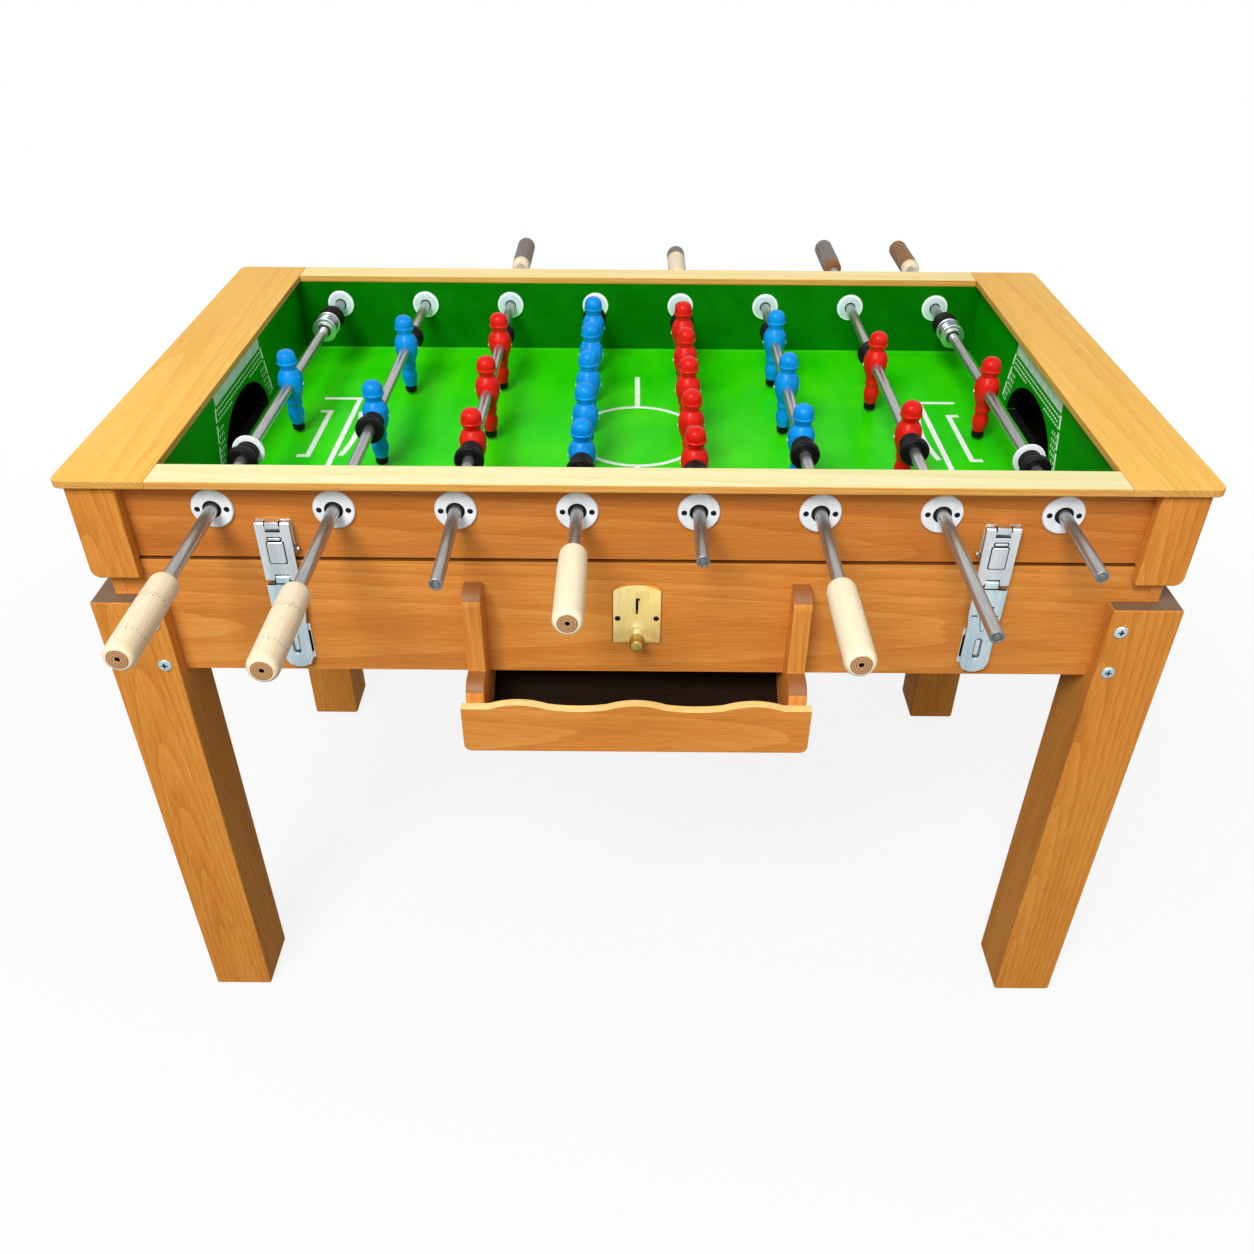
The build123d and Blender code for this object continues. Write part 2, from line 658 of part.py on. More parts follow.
def coin_recess():
    """Recess of the coin plate in the front panel, with cut corners that stay open beside its arch."""
    half = COIN_PLATE_WIDTH / 2 + COIN_RECESS_GAP
    top = TABLE_HEIGHT - COIN_PLATE_TOP_DROP + COIN_RECESS_GAP
    bottom = top - COIN_PLATE_HEIGHT - 2 * COIN_RECESS_GAP
    right = ((half, bottom), (half, top - COIN_RECESS_CORNER), (half - COIN_RECESS_CORNER, top))
    return prism_y(right + tuple((-x, z) for x, z in reversed(right)), -BASE_Y, COIN_RECESS_DEPTH - BASE_Y)


def coin_outline():
    """Outline of the coin plate with an arched top, drawn in (x, z)."""
    half = COIN_PLATE_WIDTH / 2
    top = TABLE_HEIGHT - COIN_PLATE_TOP_DROP
    bottom = top - COIN_PLATE_HEIGHT
    shoulder = top - COIN_PLATE_ARCH
    sides = Polyline((half, shoulder), (half, bottom), (-half, bottom), (-half, shoulder))
    return make_face(sides + ThreePointArc((-half, shoulder), (0, top), (half, shoulder)))


def coin_slot(margin, y0, y1):
    """Slot for the coin, grown by a margin."""
    half = COIN_SLOT_WIDTH / 2 + margin
    reach = COIN_SLOT_LENGTH / 2 + margin
    z = TABLE_HEIGHT - COIN_PLATE_TOP_DROP - COIN_SLOT_BELOW_TOP
    return block(-half, half, y0, y1, z - reach, z + reach)


def plunger_z():
    """Height of the plunger's axis."""
    return TABLE_HEIGHT - COIN_PLATE_TOP_DROP - PLUNGER_BELOW_TOP


def coin_plate():
    """Brass plate in its recess, with the coin slot and the plunger's bore."""
    back = COIN_RECESS_DEPTH - BASE_Y
    front = back - COIN_PLATE_THICKNESS
    plate = extrude(Plane.XZ.offset(-back) * coin_outline(), COIN_PLATE_THICKNESS)
    plate -= coin_slot(0, front, back)
    return plate - along_y(hole(PLUNGER_RADIUS + RUNNING_CLEARANCE, front, back), 0, 0, plunger_z())


def coin_mechanism():
    """Housing behind the front panel that guides the plunger and takes the coin."""
    half = MECHANISM_WIDTH / 2
    front = -BASE_INNER_Y
    back = MECHANISM_DEPTH - BASE_INNER_Y
    z = plunger_z()
    body = block(-half, half, front, back, z - MECHANISM_BELOW, z + MECHANISM_ABOVE)
    body -= coin_slot(COIN_RECESS_GAP, front, (front + back) / 2)
    return body - along_y(hole(PLUNGER_RADIUS + RUNNING_CLEARANCE, front, back), 0, 0, z)


def coin_plunger():
    """Push plunger with a knob, resting fully out."""
    tip = COIN_RECESS_DEPTH - BASE_Y - COIN_PLATE_THICKNESS - PLUNGER_REACH
    shape = bar(PLUNGER_RADIUS, tip, PLUNGER_INSIDE - BASE_INNER_Y)
    shape += bar(PLUNGER_KNOB_RADIUS, tip, tip + PLUNGER_KNOB_LENGTH)
    return along_y(shape, 0, 0, plunger_z())


# Hasps, drawn at the middle of the table and then moved to the right

HASP_Y = -BASE_Y - HASP_KNUCKLE_RADIUS - HASP_GAP
HASP_FRONT_Y = HASP_Y - HASP_KNUCKLE_RADIUS
HASP_BACK_Y = HASP_FRONT_Y + HASP_SHEET
HASP_TOP_Z = TABLE_HEIGHT - HASP_TOP_DROP
HASP_MID_Z = TABLE_HEIGHT - HASP_MID_DROP
HASP_NOTCH = HASP_KNUCKLE_RADIUS * sqrt(2) + HASP_GAP
KNUCKLE_HALF = HASP_WIDTH / 2 - HASP_LUG_WIDTH - HASP_GAP


def hasp_bore(z):
    """Bore for a hasp's pin through its middle knuckle."""
    return along_x(hole(HASP_PIN_RADIUS + RUNNING_CLEARANCE, -KNUCKLE_HALF, KNUCKLE_HALF), HASP_Y, z)


def hasp_side_knuckles(z):
    """Two rolled knuckles at the hasp's sides, with the pin that they hold."""
    half = HASP_WIDTH / 2
    shape = along_x(bar(HASP_PIN_RADIUS, -half, half), HASP_Y, z)
    for x0 in (-half, half - HASP_LUG_WIDTH):
        shape += along_x(bar(HASP_KNUCKLE_RADIUS, x0, x0 + HASP_LUG_WIDTH), HASP_Y, z)
    return shape


def hasp_base_plate():
    """Plate on the upper box behind the hasp, with the square middle knuckle of the upper hinge."""
    half = HASP_WIDTH / 2
    bottom = HASP_TOP_Z - HASP_PLATE_HEIGHT
    top = HASP_TOP_Z + HASP_KNUCKLE_RADIUS
    plate = block(-half, half, -PANEL_Y - HASP_SHEET, -PANEL_Y, bottom, top)
    plate += block(-KNUCKLE_HALF, KNUCKLE_HALF, HASP_FRONT_Y, -PANEL_Y, top - 2 * HASP_KNUCKLE_RADIUS, top)
    return plate - hasp_bore(HASP_TOP_Z)


def hasp_flap():
    """Upper link of the hasp: a sheet with two knuckles at its top and two at its bottom."""
    half = HASP_WIDTH / 2
    flap = block(-half, half, HASP_FRONT_Y, HASP_BACK_Y, HASP_MID_Z + HASP_NOTCH, HASP_TOP_Z - HASP_NOTCH)
    for x0 in (-half, half - HASP_LUG_WIDTH):
        flap += block(x0, x0 + HASP_LUG_WIDTH, HASP_FRONT_Y, HASP_BACK_Y, HASP_MID_Z, HASP_TOP_Z)
    return flap + hasp_side_knuckles(HASP_TOP_Z) + hasp_side_knuckles(HASP_MID_Z)


def hasp_strap():
    """Lower link of the hasp: a middle knuckle and a slotted tongue with a rounded tip."""
    half = HASP_WIDTH / 2
    tongue = HASP_TONGUE_WIDTH / 2
    top = HASP_MID_Z - HASP_NOTCH
    step = TABLE_HEIGHT - HASP_STEP_DROP
    bottom = TABLE_HEIGHT - HASP_BOTTOM_DROP
    shy = HASP_TIP_ROUNDING * (1 - sqrt(0.5))
    right = (
        (half, top),
        (half, step),
        (tongue, step - HASP_TAPER),
        (tongue, bottom + HASP_TIP_ROUNDING),
        (tongue - shy, bottom + shy),
        (tongue - HASP_TIP_ROUNDING, bottom),
    )
    strap = prism_y(right + tuple((-x, z) for x, z in reversed(right)), HASP_FRONT_Y, HASP_BACK_Y)
    strap -= hasp_slot(HASP_FRONT_Y, HASP_BACK_Y)
    strap += block(-KNUCKLE_HALF, KNUCKLE_HALF, HASP_FRONT_Y, HASP_BACK_Y, top, HASP_MID_Z)
    strap += along_x(bar(HASP_KNUCKLE_RADIUS, -KNUCKLE_HALF, KNUCKLE_HALF), HASP_Y, HASP_MID_Z)
    return strap - hasp_bore(HASP_MID_Z)


def hasp_slot(y0, y1):
    """Slot of the strap with cut corners."""
    half = HASP_SLOT_WIDTH / 2
    z = TABLE_HEIGHT - HASP_SLOT_DROP
    reach = HASP_SLOT_LENGTH / 2
    right = (
        (half - HASP_SLOT_CUT, reach),
        (half, reach - HASP_SLOT_CUT),
        (half, HASP_SLOT_CUT - reach),
        (half - HASP_SLOT_CUT, -reach),
    )
    outline = right + tuple((-x, h) for x, h in reversed(right))
    return prism_y([(x, z + h) for x, h in outline], y0, y1)


def hasp_staple():
    """Staple plate of the hasp on the lower box, with its eye just behind the strap's slot."""
    half = STAPLE_PLATE_WIDTH / 2
    reach = STAPLE_PLATE_HEIGHT / 2
    eye = STAPLE_EYE_WIDTH / 2
    eye_reach = STAPLE_EYE_LENGTH / 2
    z = TABLE_HEIGHT - HASP_SLOT_DROP
    plate = block(-half, half, -BASE_Y - HASP_SHEET, -BASE_Y, z - reach, z + reach)
    return plate + block(-eye, eye, HASP_BACK_Y + HASP_GAP, -BASE_Y, z - eye_reach, z + eye_reach)


def at_hasps(solid):
    """A piece of the hasp at its left and its right place."""
    return left_and_right(Pos(HASP_X, 0, 0) * solid)


# Rear hinges, drawn at the middle of the table and then moved to both places

HINGE_Y = BASE_Y + HINGE_KNUCKLE_RADIUS + HINGE_GAP


def hinge_upper_leaf():
    """Leaf on the upper box, with one knuckle bored for the pin."""
    half = HINGE_LENGTH / 2
    low = SPLIT_Z + HINGE_KNUCKLE_RADIUS
    leaf = block(-half, half, PANEL_Y, PANEL_Y + HINGE_LEAF_THICKNESS, low, SPLIT_Z + HINGE_LEAF_HEIGHT)
    leaf += block(HINGE_GAP, half, PANEL_Y, HINGE_Y, low - HINGE_LEAF_THICKNESS, low)
    leaf += along_x(bar(HINGE_KNUCKLE_RADIUS, HINGE_GAP, half), HINGE_Y, SPLIT_Z)
    return leaf - along_x(hole(HINGE_PIN_RADIUS + RUNNING_CLEARANCE, 0, half), HINGE_Y, SPLIT_Z)


def hinge_lower_leaf():
    """Leaf on the lower box, with one knuckle and the pin."""
    half = HINGE_LENGTH / 2
    high = SPLIT_Z - HINGE_KNUCKLE_RADIUS
    leaf = block(-half, half, BASE_Y, BASE_Y + HINGE_LEAF_THICKNESS, SPLIT_Z - HINGE_LEAF_HEIGHT, high)
    leaf += block(-half, -HINGE_GAP, BASE_Y, HINGE_Y, high, high + HINGE_LEAF_THICKNESS)
    leaf += along_x(bar(HINGE_KNUCKLE_RADIUS, -half, -HINGE_GAP), HINGE_Y, SPLIT_Z)
    return leaf + along_x(bar(HINGE_PIN_RADIUS, -half, half), HINGE_Y, SPLIT_Z)


def at_hinges(solid):
    """A leaf of the hinge at both of its places."""
    return [Pos(x, 0, 0) * solid for x in (-HINGE_X, HINGE_X)]


def main():
    """Build every sub-part and write it to the parts folder."""
    os.makedirs("parts", exist_ok=True)

    save("legs", [s for side in left_and_right(leg()) for s in front_and_back(side)])
    bolts = [s for bolt in leg_bolts() for side in left_and_right(bolt) for s in front_and_back(side)]
    save("leg_bolts", bolts)
    save("base_fittings", at_hasps(hasp_staple()) + at_hinges(hinge_lower_leaf()))
    save("base_front_panel", [base_front_panel()])
    save("base_side_panels", [base_back_panel()] + left_and_right(base_end_panel()))
    save("ball_ramps", ball_ramps())
    save("tray_brackets", left_and_right(tray_bracket()))
    save("tray_boards", [tray_front(), tray_floor()])
    save("coin_plate", [coin_plate()])
    save("coin_mechanism", [coin_mechanism()])
    save("coin_plunger", [coin_plunger()])

    front_panel, back_panel = front_and_back(side_panel())
    front_posts = left_and_right(corner_post(SPLIT_Z - POST_OVERLAP))
    back_posts = [mirror(post, about=Plane.XZ) for post in left_and_right(corner_post(LID_BOTTOM_Z))]
    save("box_front_panel", [front_panel])
    save("box_back_panel", [back_panel])
    save("box_end_panels", left_and_right(end_panel()))
    save("goal_walls", left_and_right(goal_wall()))
    save("playfield", [playfield()])
    save("top_rails", front_and_back(top_rail()))
    save("top_end_boards", left_and_right(top_end_board()))
    save("corner_posts", front_posts + back_posts)
    save("rod_bushes", rod_bushes())
    save("lid_fittings", at_hasps(hasp_base_plate()) + at_hinges(hinge_upper_leaf()))

    for name, flap, strap in zip(("left", "right"), at_hasps(hasp_flap()), at_hasps(hasp_strap())):
        save("hasp_flap_" + name, [flap])
        save("hasp_strap_" + name, [strap])

    figure = man()
    rods = zip(MEN_COUNTS, HANDLE_SIDES, MIDDLE_MEN, HANDLE_GAPS, BARE_REACHES)
    for i, (count, side, middle, handle_gap, bare_reach) in enumerate(rods):
        x = rod_x(i)
        prefix = f"rod_{i + 1}_"
        save(prefix + "bar", [rod_bar(x, side, handle_gap, bare_reach)])
        save(prefix + "handle", [handle(x, side, handle_gap)])
        save(prefix + "men", [Pos(x, y, ROD_Z) * figure for y in men_places(count, middle)])
        save(prefix + "bumpers", bumpers(x, count, middle))
        if count == 1:
            save(prefix + "spring", goalie_spring_set(x, middle))
    print(f"least gap between turns of the springs: {spring_gap():.2f} mm")


main()
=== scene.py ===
import json
from contextlib import contextmanager
from functools import partial
from math import pi, radians

import bmesh
import bpy
import numpy as np
from mathutils import Matrix, Vector

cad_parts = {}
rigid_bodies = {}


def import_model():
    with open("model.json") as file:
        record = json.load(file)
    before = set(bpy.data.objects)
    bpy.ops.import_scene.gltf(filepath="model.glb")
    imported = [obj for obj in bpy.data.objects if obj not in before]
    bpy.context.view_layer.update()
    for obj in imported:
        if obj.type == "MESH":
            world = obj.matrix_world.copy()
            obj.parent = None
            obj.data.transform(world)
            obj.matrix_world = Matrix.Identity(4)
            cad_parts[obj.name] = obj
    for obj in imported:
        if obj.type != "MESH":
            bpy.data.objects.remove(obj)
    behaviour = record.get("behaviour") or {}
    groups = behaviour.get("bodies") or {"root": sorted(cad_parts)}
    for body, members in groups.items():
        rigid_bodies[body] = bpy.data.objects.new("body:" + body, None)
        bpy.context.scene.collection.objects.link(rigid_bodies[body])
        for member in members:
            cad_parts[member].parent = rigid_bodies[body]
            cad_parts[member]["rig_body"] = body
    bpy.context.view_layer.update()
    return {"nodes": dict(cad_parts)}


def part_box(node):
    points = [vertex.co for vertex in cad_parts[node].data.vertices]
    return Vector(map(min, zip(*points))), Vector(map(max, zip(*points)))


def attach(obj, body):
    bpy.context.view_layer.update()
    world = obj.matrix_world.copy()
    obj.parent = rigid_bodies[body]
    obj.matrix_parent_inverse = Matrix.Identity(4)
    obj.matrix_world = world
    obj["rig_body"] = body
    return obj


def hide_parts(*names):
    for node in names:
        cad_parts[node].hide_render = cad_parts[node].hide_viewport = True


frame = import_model()

MM = 0.001

# Studio and camera; a lamp has its place, its target and its size in metres, and its power in watts
LENS_MM = 32.065
SENSOR_MM = 36.0
CAMERA_PLACE = (-0.0072, -1.5929, 1.5588)
CAMERA_PITCH = radians(36.653)
CAMERA_ROLL = radians(0.444)
CAMERA_SHIFT = (-0.0032, 0.0297)
FLOOR_HALF = 14.0
FLOOR_GREY = "#e0e0e0"
FLOOR_BOUNCE = "#767676"
FLOOR_WHITE = 0.86
FLOOR_FADE = (0.9, 2.6)
FLOOR_ROUGHNESS = 0.9
MIRRORED_WHITE = 0.8
SOFT_LIGHT = 0.41
WHITE = (1, 1, 1, 1)
LAMPS = {
    "key_softbox": ((-1.3, -3.3, 4.4), (0, 0, 0.8), 2.0, 242.0),
    "fill_softbox": ((1.8, -3.0, 2.2), (0, 0, 0.7), 2.5, 22.0),
}

# Edges of the boards and sheets, in metres
BOARD_EASING = 1.2 * MM
LEG_EASING = 3.0 * MM
POST_EASING = 2.0 * MM
TRAY_EASING = 0.8 * MM
GOAL_WALL_EASING = 0.6 * MM
FIELD_EASING = 0.4 * MM
SHEET_EASING = 0.5 * MM
JOINT_SHADOW = 2.6 * MM
JOINT_DEPTH = 3.2 * MM
DOUBLES = 0.002 * MM
SLACK = 0.01 * MM
FLAT_ANGLE = radians(0.5)
EASED_ANGLE = radians(28)
SHADED_ANGLE = radians(34)

# How finely turned shapes are divided round their axis
FINE_TURN = 48
MIDDLE_TURN = 40
SMALL_TURN = 24

# Printed lines of the field, in millimetres; the arc has a centre, a radius and half its angle in degrees
PAINT_PROUD = 0.25
PAINT_SUNK = 0.15
LINE_WIDTH = 8.0
CENTRE_CIRCLE = 104.0
CENTRE_OVAL = (0.92, 1.0, 1.0)
CENTRE_LINE_END = 228.0
CIRCLE_LINE_WIDTH = 7.0
BIG_BOX = (453.0, 511.0, 130.0)
SMALL_BOX = (490.0, 506.0, 79.0)
RIGHT_BOX_SHIFT = 7.0
PENALTY_ARC = (797.0, 364.0, 12.3)
WALL_LINE_INSET = 9.0
WALL_LINE_WIDTH = 2.5
WALL_LINE_SHORT = 4.0

# Printed goal frame and net, and the black sill of painted shade on the field under the arch, in millimetres
GOAL_BAR = (114.0, 905.0, 921.0)
GOAL_POST_TOP = (116.0, 903.0)
GOAL_POST_SPREAD = 0.29
GOAL_POST_WIDTH = 5.0
GOAL_POST_RUNS = ((903.0, 884.0), (880.0, 856.0), (852.0, 826.0))
NET_DASH = (5.0, 2.2)
NET_PITCH = 9.0
NET_ROWS = (898.5, 891.0, 884.0)
NET_COLUMNS = (8.0, 16.0, 24.0)
NET_CLEAR_OF_ARCH = 7.0
SILL_GAP = 0.5
MOUTH_GAP = 1.0

# The frame

def node_body(name):
    """Name of the body that carries a CAD node."""
    return frame["nodes"][name]["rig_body"]


def read(items, field, width=1, kind=float):
    """One field of all points, edges, faces or corners of a mesh, with a row of values for each of them."""
    values = np.empty(len(items) * width, kind)
    items.foreach_get(field, values)
    return values.reshape(-1, width) if width > 1 else values


def merged(name):
    """Corners of a CAD node with doubles merged, and the edges between them as pairs of corner numbers."""
    mesh = frame["nodes"][name].data
    points = np.round(read(mesh.vertices, "co", 3), 6)
    corners, place = np.unique(points, axis=0, return_inverse=True)
    return corners, place.reshape(-1)[read(mesh.edges, "vertices", 2, int)]


def linked(count, edges):
    """Number of the linked part that each corner belongs to: the least label spreads along the edges."""
    label = np.arange(count)
    while True:
        least = np.minimum(label[edges[:, 0]], label[edges[:, 1]])
        spread = label.copy()
        np.minimum.at(spread, edges[:, 0], least)
        np.minimum.at(spread, edges[:, 1], least)
        if np.array_equal(spread, label):
            return np.unique(label, return_inverse=True)[1].reshape(-1)
        label = spread


def solids(name):
    """Lowest and highest corner of each solid of a CAD node, in metres, from front to back."""
    corners, edges = merged(name)
    part = linked(len(corners), edges)
    boxes = [(corners[part == k].min(0), corners[part == k].max(0)) for k in range(part.max() + 1)]
    return sorted(boxes, key=lambda box: (round(box[0][1], 4), round(box[0][0], 4), box[0][2]))


def middle(box):
    """Centre of a box given by two corners."""
    return (np.array(box[0]) + np.array(box[1])) / 2


def round_size(box):
    """Radius across X and length along Y of a round piece, in millimetres, from its box."""
    low, high = box
    return (high[0] - low[0]) / 2 / MM, (high[1] - low[1]) / MM


FIELD_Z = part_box("playfield")[1].z
FIELD_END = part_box("playfield")[1].x
ROD_Z = middle(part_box("rod_1_bar"))[2]
ROD_RADIUS = round_size(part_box("rod_1_bar"))[0]
WELL_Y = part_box("box_back_panel")[0].y
GOAL_X = min(abs(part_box("goal_walls")[0].x), solids("goal_walls")[-1][0][0])
GOAL_TOP_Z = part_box("goal_walls")[1].z
GOAL_ARCH = (0.110, 0.068)
JOINT_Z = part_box("box_end_panels")[0].z
TRAY_BOARD = 14 * MM
TRAY_FRONT_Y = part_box("tray_boards")[0].y + TRAY_BOARD

# Finishes; sizes of their patterns in millimetres, and the shares that draw a pattern out along an axis
WOOD_CLOUD_MM = 38
FLECK_MM = 1.8
FLECK_BAND_MM = 16
LACQUER_CLOUD_MM = 140
ROLLER_MM = 26
PEEL_MM = 2.5
MELT_CLOUD_MM = 14
POLISH_CLOUD_MM = 22
RING_STRETCH = (0.10, 1, 1)
FIBRE_STRETCH = (0.035, 1, 1)
FLECK_BAND_STRETCH = (1, 0.06, 0.06)
ROLLER_STRETCH = (1, 0.12, 1)


def linear(code):
    """An sRGB hex colour as linear red, green, blue and alpha, by the two-part curve of that standard."""
    s = np.array([int(code[i:i + 2], 16) for i in (1, 3, 5)]) / 255
    channels = np.where(s <= 0.04045, s / 12.92, ((s + 0.055) / 1.055) ** 2.4)
    return (*channels.tolist(), 1.0)


def node(tree, kind, inputs=None, out=0, stops=None, **settings):
    """Adds one shader node and gives one of its outputs: an input that is a socket is linked, any other is
    set, and stops give a colour ramp its places and its colours."""
    made = tree.nodes.new("ShaderNode" + kind)
    for name, value in settings.items():
        setattr(made, name, value)
    for name, value in (inputs or {}).items():
        if isinstance(value, bpy.types.NodeSocket):
            tree.links.new(value, made.inputs[name])
        else:
            made.inputs[name].default_value = value
    if stops:
        elements = made.color_ramp.elements
        elements.remove(elements[-1])
        for place, code in zip(stops[0], stops[1].split()):
            elements.new(place).color = linear(code)
        elements.remove(elements[0])
    return made.outputs[out]


def finish(name, sockets):
    """A new material whose surface shader has the given sockets set, and the function that adds its nodes."""
    material = bpy.data.materials.new(name)
    material.use_nodes = True
    for socket, value in sockets.items():
        material.node_tree.nodes["Principled BSDF"].inputs[socket].default_value = value
    return material, partial(node, material.node_tree)


def dressed(material, colour, polish, span, relief, strength, depth_mm, top=1.0):
    """Completes a finish: its colour, a roughness that runs over a span while the polish pattern goes from 0
    to its top, and a bump of a depth from the relief pattern."""
    tree = material.node_tree
    limits = {"From Max": top, "To Min": span[0], "To Max": span[1]}
    gloss = node(tree, "MapRange", {"Value": polish, **limits})
    bump = node(tree, "Bump", {"Height": relief, "Strength": strength, "Distance": depth_mm * MM})
    for socket, value in (("Base Color", colour), ("Roughness", gloss), ("Normal", bump)):
        tree.links.new(value, tree.nodes["Principled BSDF"].inputs[socket])
    return material


def per_mm(size):
    """Texture scale that gives features of a size in millimetres, on coordinates in metres."""
    return 1.0 / (size * MM)


def rings_per_mm(spacing):
    """Wave texture scale for rings a spacing in millimetres apart: a wave takes 2 pi / 20 of its unit."""
    return 2 * pi / 20 / (spacing * MM)


def sawn_wood(name, colours, ring_mm, fibre_mm, roughness, flecks=None, specular=0.16):
    """Sawn, sanded and lacquered wood, in colours from dark to light: growth rings cut lengthwise show as
    faint flames and lines, with short darker pores in line with them, drawn coarser than real ones so that
    they show; the lacquer gives a soft, broad gloss. Flecks are small brown spots that stand in bands across
    the grain."""
    material, add = finish(name, {"Specular IOR Level": specular})
    grain = add("Attribute", out="Vector", attribute_name="grain")
    slow = add("VectorMath", {0: grain, 1: RING_STRETCH}, operation="MULTIPLY")
    fine = add("VectorMath", {0: grain, 1: FIBRE_STRETCH}, operation="MULTIPLY")
    rings = add("TexWave", {
        "Vector": slow, "Scale": rings_per_mm(ring_mm), "Distortion": 5.0, "Detail": 3.0,
        "Detail Scale": 0.35, "Detail Roughness": 0.55,
    }, "Fac", wave_type="RINGS", rings_direction="X", wave_profile="SAW")
    cloud = add("TexNoise", {"Vector": slow, "Scale": per_mm(WOOD_CLOUD_MM), "Detail": 3.0})
    fibre = add("TexNoise", {
        "Vector": fine, "Scale": per_mm(fibre_mm), "Detail": 4.0, "Roughness": 0.65,
    })
    bands = add("Math", {0: rings, 1: 0.18}, operation="MULTIPLY")
    clouds = add("Math", {0: cloud, 1: 0.45, 2: bands}, operation="MULTIPLY_ADD")
    tone = add("Math", {0: fibre, 1: 0.65, 2: clouds}, operation="MULTIPLY_ADD")
    colour = add("ValToRGB", {"Fac": tone}, stops=((0.40, 0.64, 0.88), colours))
    if flecks:
        lengthwise = add("VectorMath", {0: grain, 1: FLECK_BAND_STRETCH}, operation="MULTIPLY")
        band = add("TexNoise", {"Vector": lengthwise, "Scale": per_mm(FLECK_BAND_MM), "Detail": 1.0})
        spot = add("TexNoise", {"Vector": grain, "Scale": per_mm(FLECK_MM), "Detail": 1.0})
        both = add("Math", {0: band, 1: spot}, operation="MULTIPLY")
        share = add("MapRange", {"Value": both, "From Min": 0.37, "From Max": 0.43, "To Max": 0.55})
        colour = add("Mix", {0: share, 6: colour, 7: linear(flecks)}, 2, data_type="RGBA")
    return dressed(material, colour, fibre, (roughness + 0.1, roughness - 0.08), fibre, 0.18, 0.15)


def lacquered_board(name, colours, roughness):
    """Fibre board sprayed with green lacquer, in colours from dark to light: even colour with faint clouds,
    an orange-peel ripple drawn coarse enough to show, and a clear gloss that mirrors what stands on it."""
    material, add = finish(name, {"Specular IOR Level": 0.06})
    place = add("TexCoord", out="Object")
    cloud = add("TexNoise", {"Vector": place, "Scale": per_mm(LACQUER_CLOUD_MM), "Detail": 4.0})
    streak = add("VectorMath", {0: place, 1: ROLLER_STRETCH}, operation="MULTIPLY")
    roller = add("TexNoise", {"Vector": streak, "Scale": per_mm(ROLLER_MM), "Detail": 2.0})
    tone = add("Math", {0: roller, 1: 0.35, 2: cloud}, operation="MULTIPLY_ADD")
    colour = add("ValToRGB", {"Fac": tone}, stops=((0.40, 0.66, 0.92), colours))
    peel = add("TexNoise", {"Vector": place, "Scale": per_mm(PEEL_MM), "Detail": 1.0})
    return dressed(material, colour, cloud, (roughness - 0.06, roughness + 0.08), peel, 0.05, 0.1)


def moulded(name, colours, roughness, speck_mm=3.0, bump_strength=0.04):
    """Moulded plastic or rubber, or brushed-on paint, in a dark and a light colour: slight clouds, and a skin
    texture drawn coarse enough to show."""
    material, add = finish(name, {"Specular IOR Level": 0.15})
    place = add("TexCoord", out="Object")
    cloud = add("TexNoise", {"Vector": place, "Scale": per_mm(MELT_CLOUD_MM), "Detail": 3.0})
    colour = add("ValToRGB", {"Fac": cloud}, stops=((0.30, 0.66), colours))
    skin = add("TexNoise", {"Vector": place, "Scale": per_mm(speck_mm), "Detail": 2.0})
    return dressed(material, colour, skin, (roughness - 0.05, roughness + 0.07), skin, bump_strength, 0.1)


def worked_metal(name, colours, roughness, stretch, line_mm, metallic=1.0):
    """Bare or plated metal in a dark and a light colour: lines from grinding or brushing along one axis,
    drawn coarse enough to show, and cloudy patches of polish. A worn or oxidised skin scatters more light,
    which a lower metallic share stands for."""
    material, add = finish(name, {"Metallic": metallic})
    place = add("TexCoord", out="Object")
    drawn = add("VectorMath", {0: place, 1: stretch}, operation="MULTIPLY")
    line = add("TexNoise", {"Vector": drawn, "Scale": per_mm(line_mm), "Detail": 3.0})
    cloud = add("TexNoise", {"Vector": drawn, "Scale": per_mm(POLISH_CLOUD_MM), "Detail": 3.0})
    tone = add("Math", {0: line, 1: 0.6, 2: cloud}, operation="MULTIPLY_ADD")
    colour = add("ValToRGB", {"Fac": tone}, stops=((0.45, 1.05), colours))
    return dressed(material, colour, tone, (roughness + 0.1, roughness - 0.1), line, 0.06, 0.05, top=1.6)


def end_grain(name, colours, ring_mm):
    """Cross-cut end of a board or turned stick, in a dark and a light colour: close growth rings about its
    heart, darkened by hands and sealed."""
    material, add = finish(name, {})
    grain = add("Attribute", out="Vector", attribute_name="grain")
    rings = add("TexWave", {
        "Vector": grain, "Scale": rings_per_mm(ring_mm), "Distortion": 1.2, "Detail": 2.0,
        "Detail Scale": 2.0,
    }, "Fac", wave_type="RINGS", rings_direction="X")
    colour = add("ValToRGB", {"Fac": rings}, stops=((0.15, 0.85), colours))
    return dressed(material, colour, rings, (0.5, 0.62), rings, 0.15, 0.1)


STAINED_BEECH = sawn_wood("stained_beech_sawn", "#bb732d #d48638 #df9c4c", 9, 2.2, 0.45)
RED_BEECH = sawn_wood("stained_beech_reddish_sawn", "#b06526 #c7772f #d28a40", 9, 2.2, 0.45)
# Painted shade: a dark copy of the stained beech on the faces in the joint between the lower box and the lid
JOINT_SHADE_BEECH = sawn_wood("beech_joint_painted_shade", "#5c3110 #6e3d16 #7c481d", 9, 2.2, 0.6, specular=0.02)
LEG_BEECH = sawn_wood("stained_beech_thick_sawn", "#ba712c #d38838 #df9b4a", 8, 2.4, 0.5, specular=0.02)
HONEY_BIRCH = sawn_wood("honey_birch_flat_sawn", "#dda03b #ebb44d #f1bf5d", 15, 2.6, 0.4)
PALE_MAPLE = sawn_wood("pale_maple_lacquered", "#dfce8d #e7dda5 #ebe4ba", 9, 2.2, 0.4)
# Painted light: a lighter, yellower copy of the rails' maple lacquer for the back rail, as the light shows on
# it
LIT_BACK_RAIL_MAPLE = sawn_wood("maple_lacquered_back_rail_painted_light", "#eed083 #f7e09a #fae8b0", 9, 2.2, 0.4)
